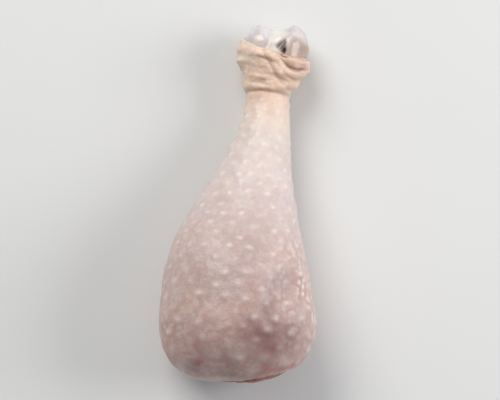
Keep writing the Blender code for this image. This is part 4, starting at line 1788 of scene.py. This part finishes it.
@dataclass
class KneeFat(LumpyRing):
    """Beads of fat along the knee cut, between the skin and the meat."""

    radius: float = 0.62
    unevenness: float = 0.42
    least_radius: float = 0.2

    def build(self) -> bpy.types.Object:
        """The fat's mesh.

        Returns:
            The new object.
        """
        shape = self.shape
        angle = np.linspace(-QUARTER, 3 * QUARTER, self.steps, endpoint=False)
        rim = shape.under_skin(shape.knee_rim(angle), angle, shape.rim_thickness)
        path = shape.place(*np.moveaxis(rim, -1, 0))
        outward = self.outward(path)
        radius = self.radius + self.unevenness * cloud(path, 5.5, salt=self.salt + 3, octaves=2)
        radius = radius * (1 + 0.5 * hill_round(angle, 3.6, 1.2))
        radius = np.clip(radius, self.least_radius, self.least_radius + 0.5 * path[:, 2])
        path = path - outward * (0.5 * radius)[:, None]
        return self.sweep(path, outward, radius, 0.9)


@dataclass
class AnkleMembrane(LumpyRing):
    """Torn tissue between the cuff's edge and the knuckle."""

    radius: float = 0.42
    unevenness: float = 0.22
    off_bone: float = 0.25
    under_edge: float = 0.1

    def build(self) -> bpy.types.Object:
        """The membrane's mesh.

        Returns:
            The new object.
        """
        shape = self.shape
        angle = np.linspace(-QUARTER, 3 * QUARTER, self.steps, endpoint=False)
        along = shape.ankle_edge(angle)
        x, z = shape.bone_point(along, angle, self.off_bone)
        path = shape.place(x, along - self.under_edge, z)
        radius = self.radius + self.unevenness * cloud(path, 4, salt=self.salt + 3, octaves=2)
        return self.sweep(path, self.outward(path), radius, 1.0)


@dataclass
class CutTendons:
    """The cut ends of the tendons that pass the ankle, inside the cuff."""

    shape: LegShape
    stubs: Table = (
        (3.85, 1.9, 1.1, 2.4),
        (5.35, 1.7, 1.1, 2.2),
        (5.95, 1.2, 0.8, 1.2),
    )
    sides: int = 32
    rows: int = 22
    root: float = 3.0
    lowest: float = 0.3
    strand_height: float = 0.12

    def build(self) -> list[bpy.types.Object]:
        """The tendons' meshes.

        Returns:
            The new objects.
        """
        shape = self.shape
        pieces = []
        for number, (turn, half_width, half_height, reach) in enumerate(self.stubs, 1):
            angle = np.array(turn)
            edge = shape.ankle_edge(angle)
            x, z = shape.bone_point(edge, angle, 0.5 * half_height)
            around = np.linspace(0, ROUND, self.sides, endpoint=False)
            share = np.linspace(0, 1, self.rows)[:, None]
            taper = np.sqrt(np.maximum(1 - fade(share, 0.62, 1.02) ** 1.6, 0.0004)) * (1 - 0.12 * share)
            tangent_x, tangent_z = -math.sin(turn), math.cos(turn)
            wide, high = half_width * taper * np.cos(around), half_height * taper * np.sin(around)
            ring_x = x + wide * tangent_x + high * math.cos(turn)
            ring_z = z + wide * tangent_z + high * math.sin(turn)
            ring_along = edge - self.root + (reach + self.root) * share + 0 * around
            base = shape.place(ring_x, ring_along, np.maximum(ring_z, self.lowest))
            strands = cloud(base * np.array([1.0, 0.25, 1.0]), 0.8, salt=90 + number, octaves=2)
            points = base + grid_normals(base) * (self.strand_height * strands)[..., None]
            # Painted shade between the strands.
            masks = {Mask.CREASE_SHADE: fade(strands, -0.2, -0.8)}
            pieces.append(mesh_piece(f"cut_tendon_{number}", points, masks, capped=True))
        return pieces


@dataclass(frozen=True)
class Lamp:
    """A soft square lamp that points at the drumstick, with its place and side in metres."""

    name: str
    place: tuple[float, float, float]
    size: float
    watts: float
    colour: Colour
    target: tuple[float, float, float] = (0.0, 0.0, 0.02)

    def hang(self) -> None:
        """Adds the lamp to the scene."""
        light = bpy.data.lights.new(self.name, "AREA")
        light.shape = "SQUARE"
        light.size = self.size
        light.energy = self.watts
        light.color = self.colour
        lamp = bpy.data.objects.new(self.name, light)
        lamp.location = self.place
        lamp.rotation_mode = "QUATERNION"
        lamp.rotation_quaternion = (Vector(self.target) - Vector(self.place)).to_track_quat("-Z", "Y")
        bpy.context.scene.collection.objects.link(lamp)


@dataclass
class Studio:
    """A plain pale floor, soft light and the camera."""

    lamps: tuple[Lamp, ...] = (
        Lamp("window", (-0.50, 0.72, 0.85), 0.75, 10.4, (1.0, 0.985, 0.965)),
        Lamp("shin_side", (0.75, 0.15, 0.45), 0.45, 4.6, (0.98, 0.98, 1.0)),
        Lamp("overhead", (0.0, 0.1, 1.2), 0.8, 0.7, (1.0, 1.0, 1.0)),
    )
    floor_size: float = 3.0
    floor_colour: Colour = linear(226, 225, 222)
    azimuth: float = 6.0
    elevation: float = 84.0
    distance: float = 0.9
    lens: float = 178.0
    sky: Colour = (0.80, 0.86, 0.95)
    sky_strength: float = 0.28

    def floor(self) -> None:
        """Lays the floor, a plain sheet a little rougher in places."""
        half = 0.5 * self.floor_size
        mesh = bpy.data.meshes.new("floor")
        corners = [(-half, -half, 0), (half, -half, 0), (half, half, 0), (-half, half, 0)]
        mesh.from_pydata(corners, [], [(0, 1, 2, 3)])
        floor = bpy.data.objects.new("floor", mesh)
        bpy.context.scene.collection.objects.link(floor)
        material = bpy.data.materials.new("floor")
        material.use_nodes = True
        tree = ShaderTree(material.node_tree)
        shader = material.node_tree.nodes["Principled BSDF"]
        grain = tree.add("TexNoise", {"Vector": tree.position(), "Scale": 40.0, "Detail": 3.0}).outputs["Fac"]
        tree.feed(shader.inputs["Base Color"], self.floor_colour)
        tree.feed(shader.inputs["Roughness"], tree.spread(grain, 0.3, 0.7, 0.55, 0.7))
        mesh.materials.append(material)

    def camera(self) -> None:
        """Sets the camera at the photograph's viewing angle."""
        low, high = CAD_BOX
        target = (Vector(low) + Vector(high)) / 2
        turn, rise = math.radians(self.azimuth), math.radians(self.elevation)
        back = Vector((math.sin(turn) * math.cos(rise), -math.cos(turn) * math.cos(rise), math.sin(rise)))
        data = bpy.data.cameras.new("camera")
        data.lens = self.lens
        data.clip_start, data.clip_end = 0.01, 20.0
        camera = bpy.data.objects.new("camera", data)
        camera.location = target + back * self.distance
        camera.rotation_mode = "QUATERNION"
        camera.rotation_quaternion = (-back).to_track_quat("-Z", "Y")
        bpy.context.scene.collection.objects.link(camera)
        bpy.context.scene.camera = camera

    def build(self) -> None:
        """Sets up floor, lamps, sky, camera and tone curve."""
        self.floor()
        for lamp in self.lamps:
            lamp.hang()
        scene = bpy.context.scene
        world = bpy.data.worlds.new("studio")
        world.use_nodes = True
        background = world.node_tree.nodes["Background"]
        background.inputs["Color"].default_value = (*self.sky, 1.0)
        background.inputs["Strength"].default_value = self.sky_strength
        scene.world = world
        scene.view_settings.view_transform = "Standard"
        self.camera()


def report(piece: bpy.types.Object) -> None:
    """Logs a piece's name and how many faces it has."""
    log.info("%s: %d faces", piece.name, len(piece.data.polygons))


def main() -> None:
    """Builds and dresses every piece, then sets up the studio."""
    logging.basicConfig(level=logging.INFO, format="%(name)s %(message)s")
    shape = LegShape()
    groups = TissueGroups()
    skin = SkinSleeve(shape).build()
    dress(skin, SkinFinish().material(groups))
    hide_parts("skin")
    meat = MeatCore(shape).build()
    dress(meat, cut_meat().material(groups))
    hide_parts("meat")
    bone = LegBone(shape).build()
    dress(bone, wet_gristle().material(groups))
    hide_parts("leg_bone")
    fat = KneeFat("knee_fat", shape, salt=101).build()
    dress(fat, FAT_FINISH.material(groups))
    membrane = AnkleMembrane("ankle_membrane", shape, salt=113).build()
    dress(membrane, MEMBRANE_FINISH.material(groups))
    tendon_material = TENDON_FINISH.material(groups)
    tendons = CutTendons(shape).build()
    for tendon in tendons:
        dress(tendon, tendon_material)
    for piece in (skin, meat, bone, fat, membrane, *tendons):
        report(piece)
    Studio().build()


if __name__ == "__main__":
    main()
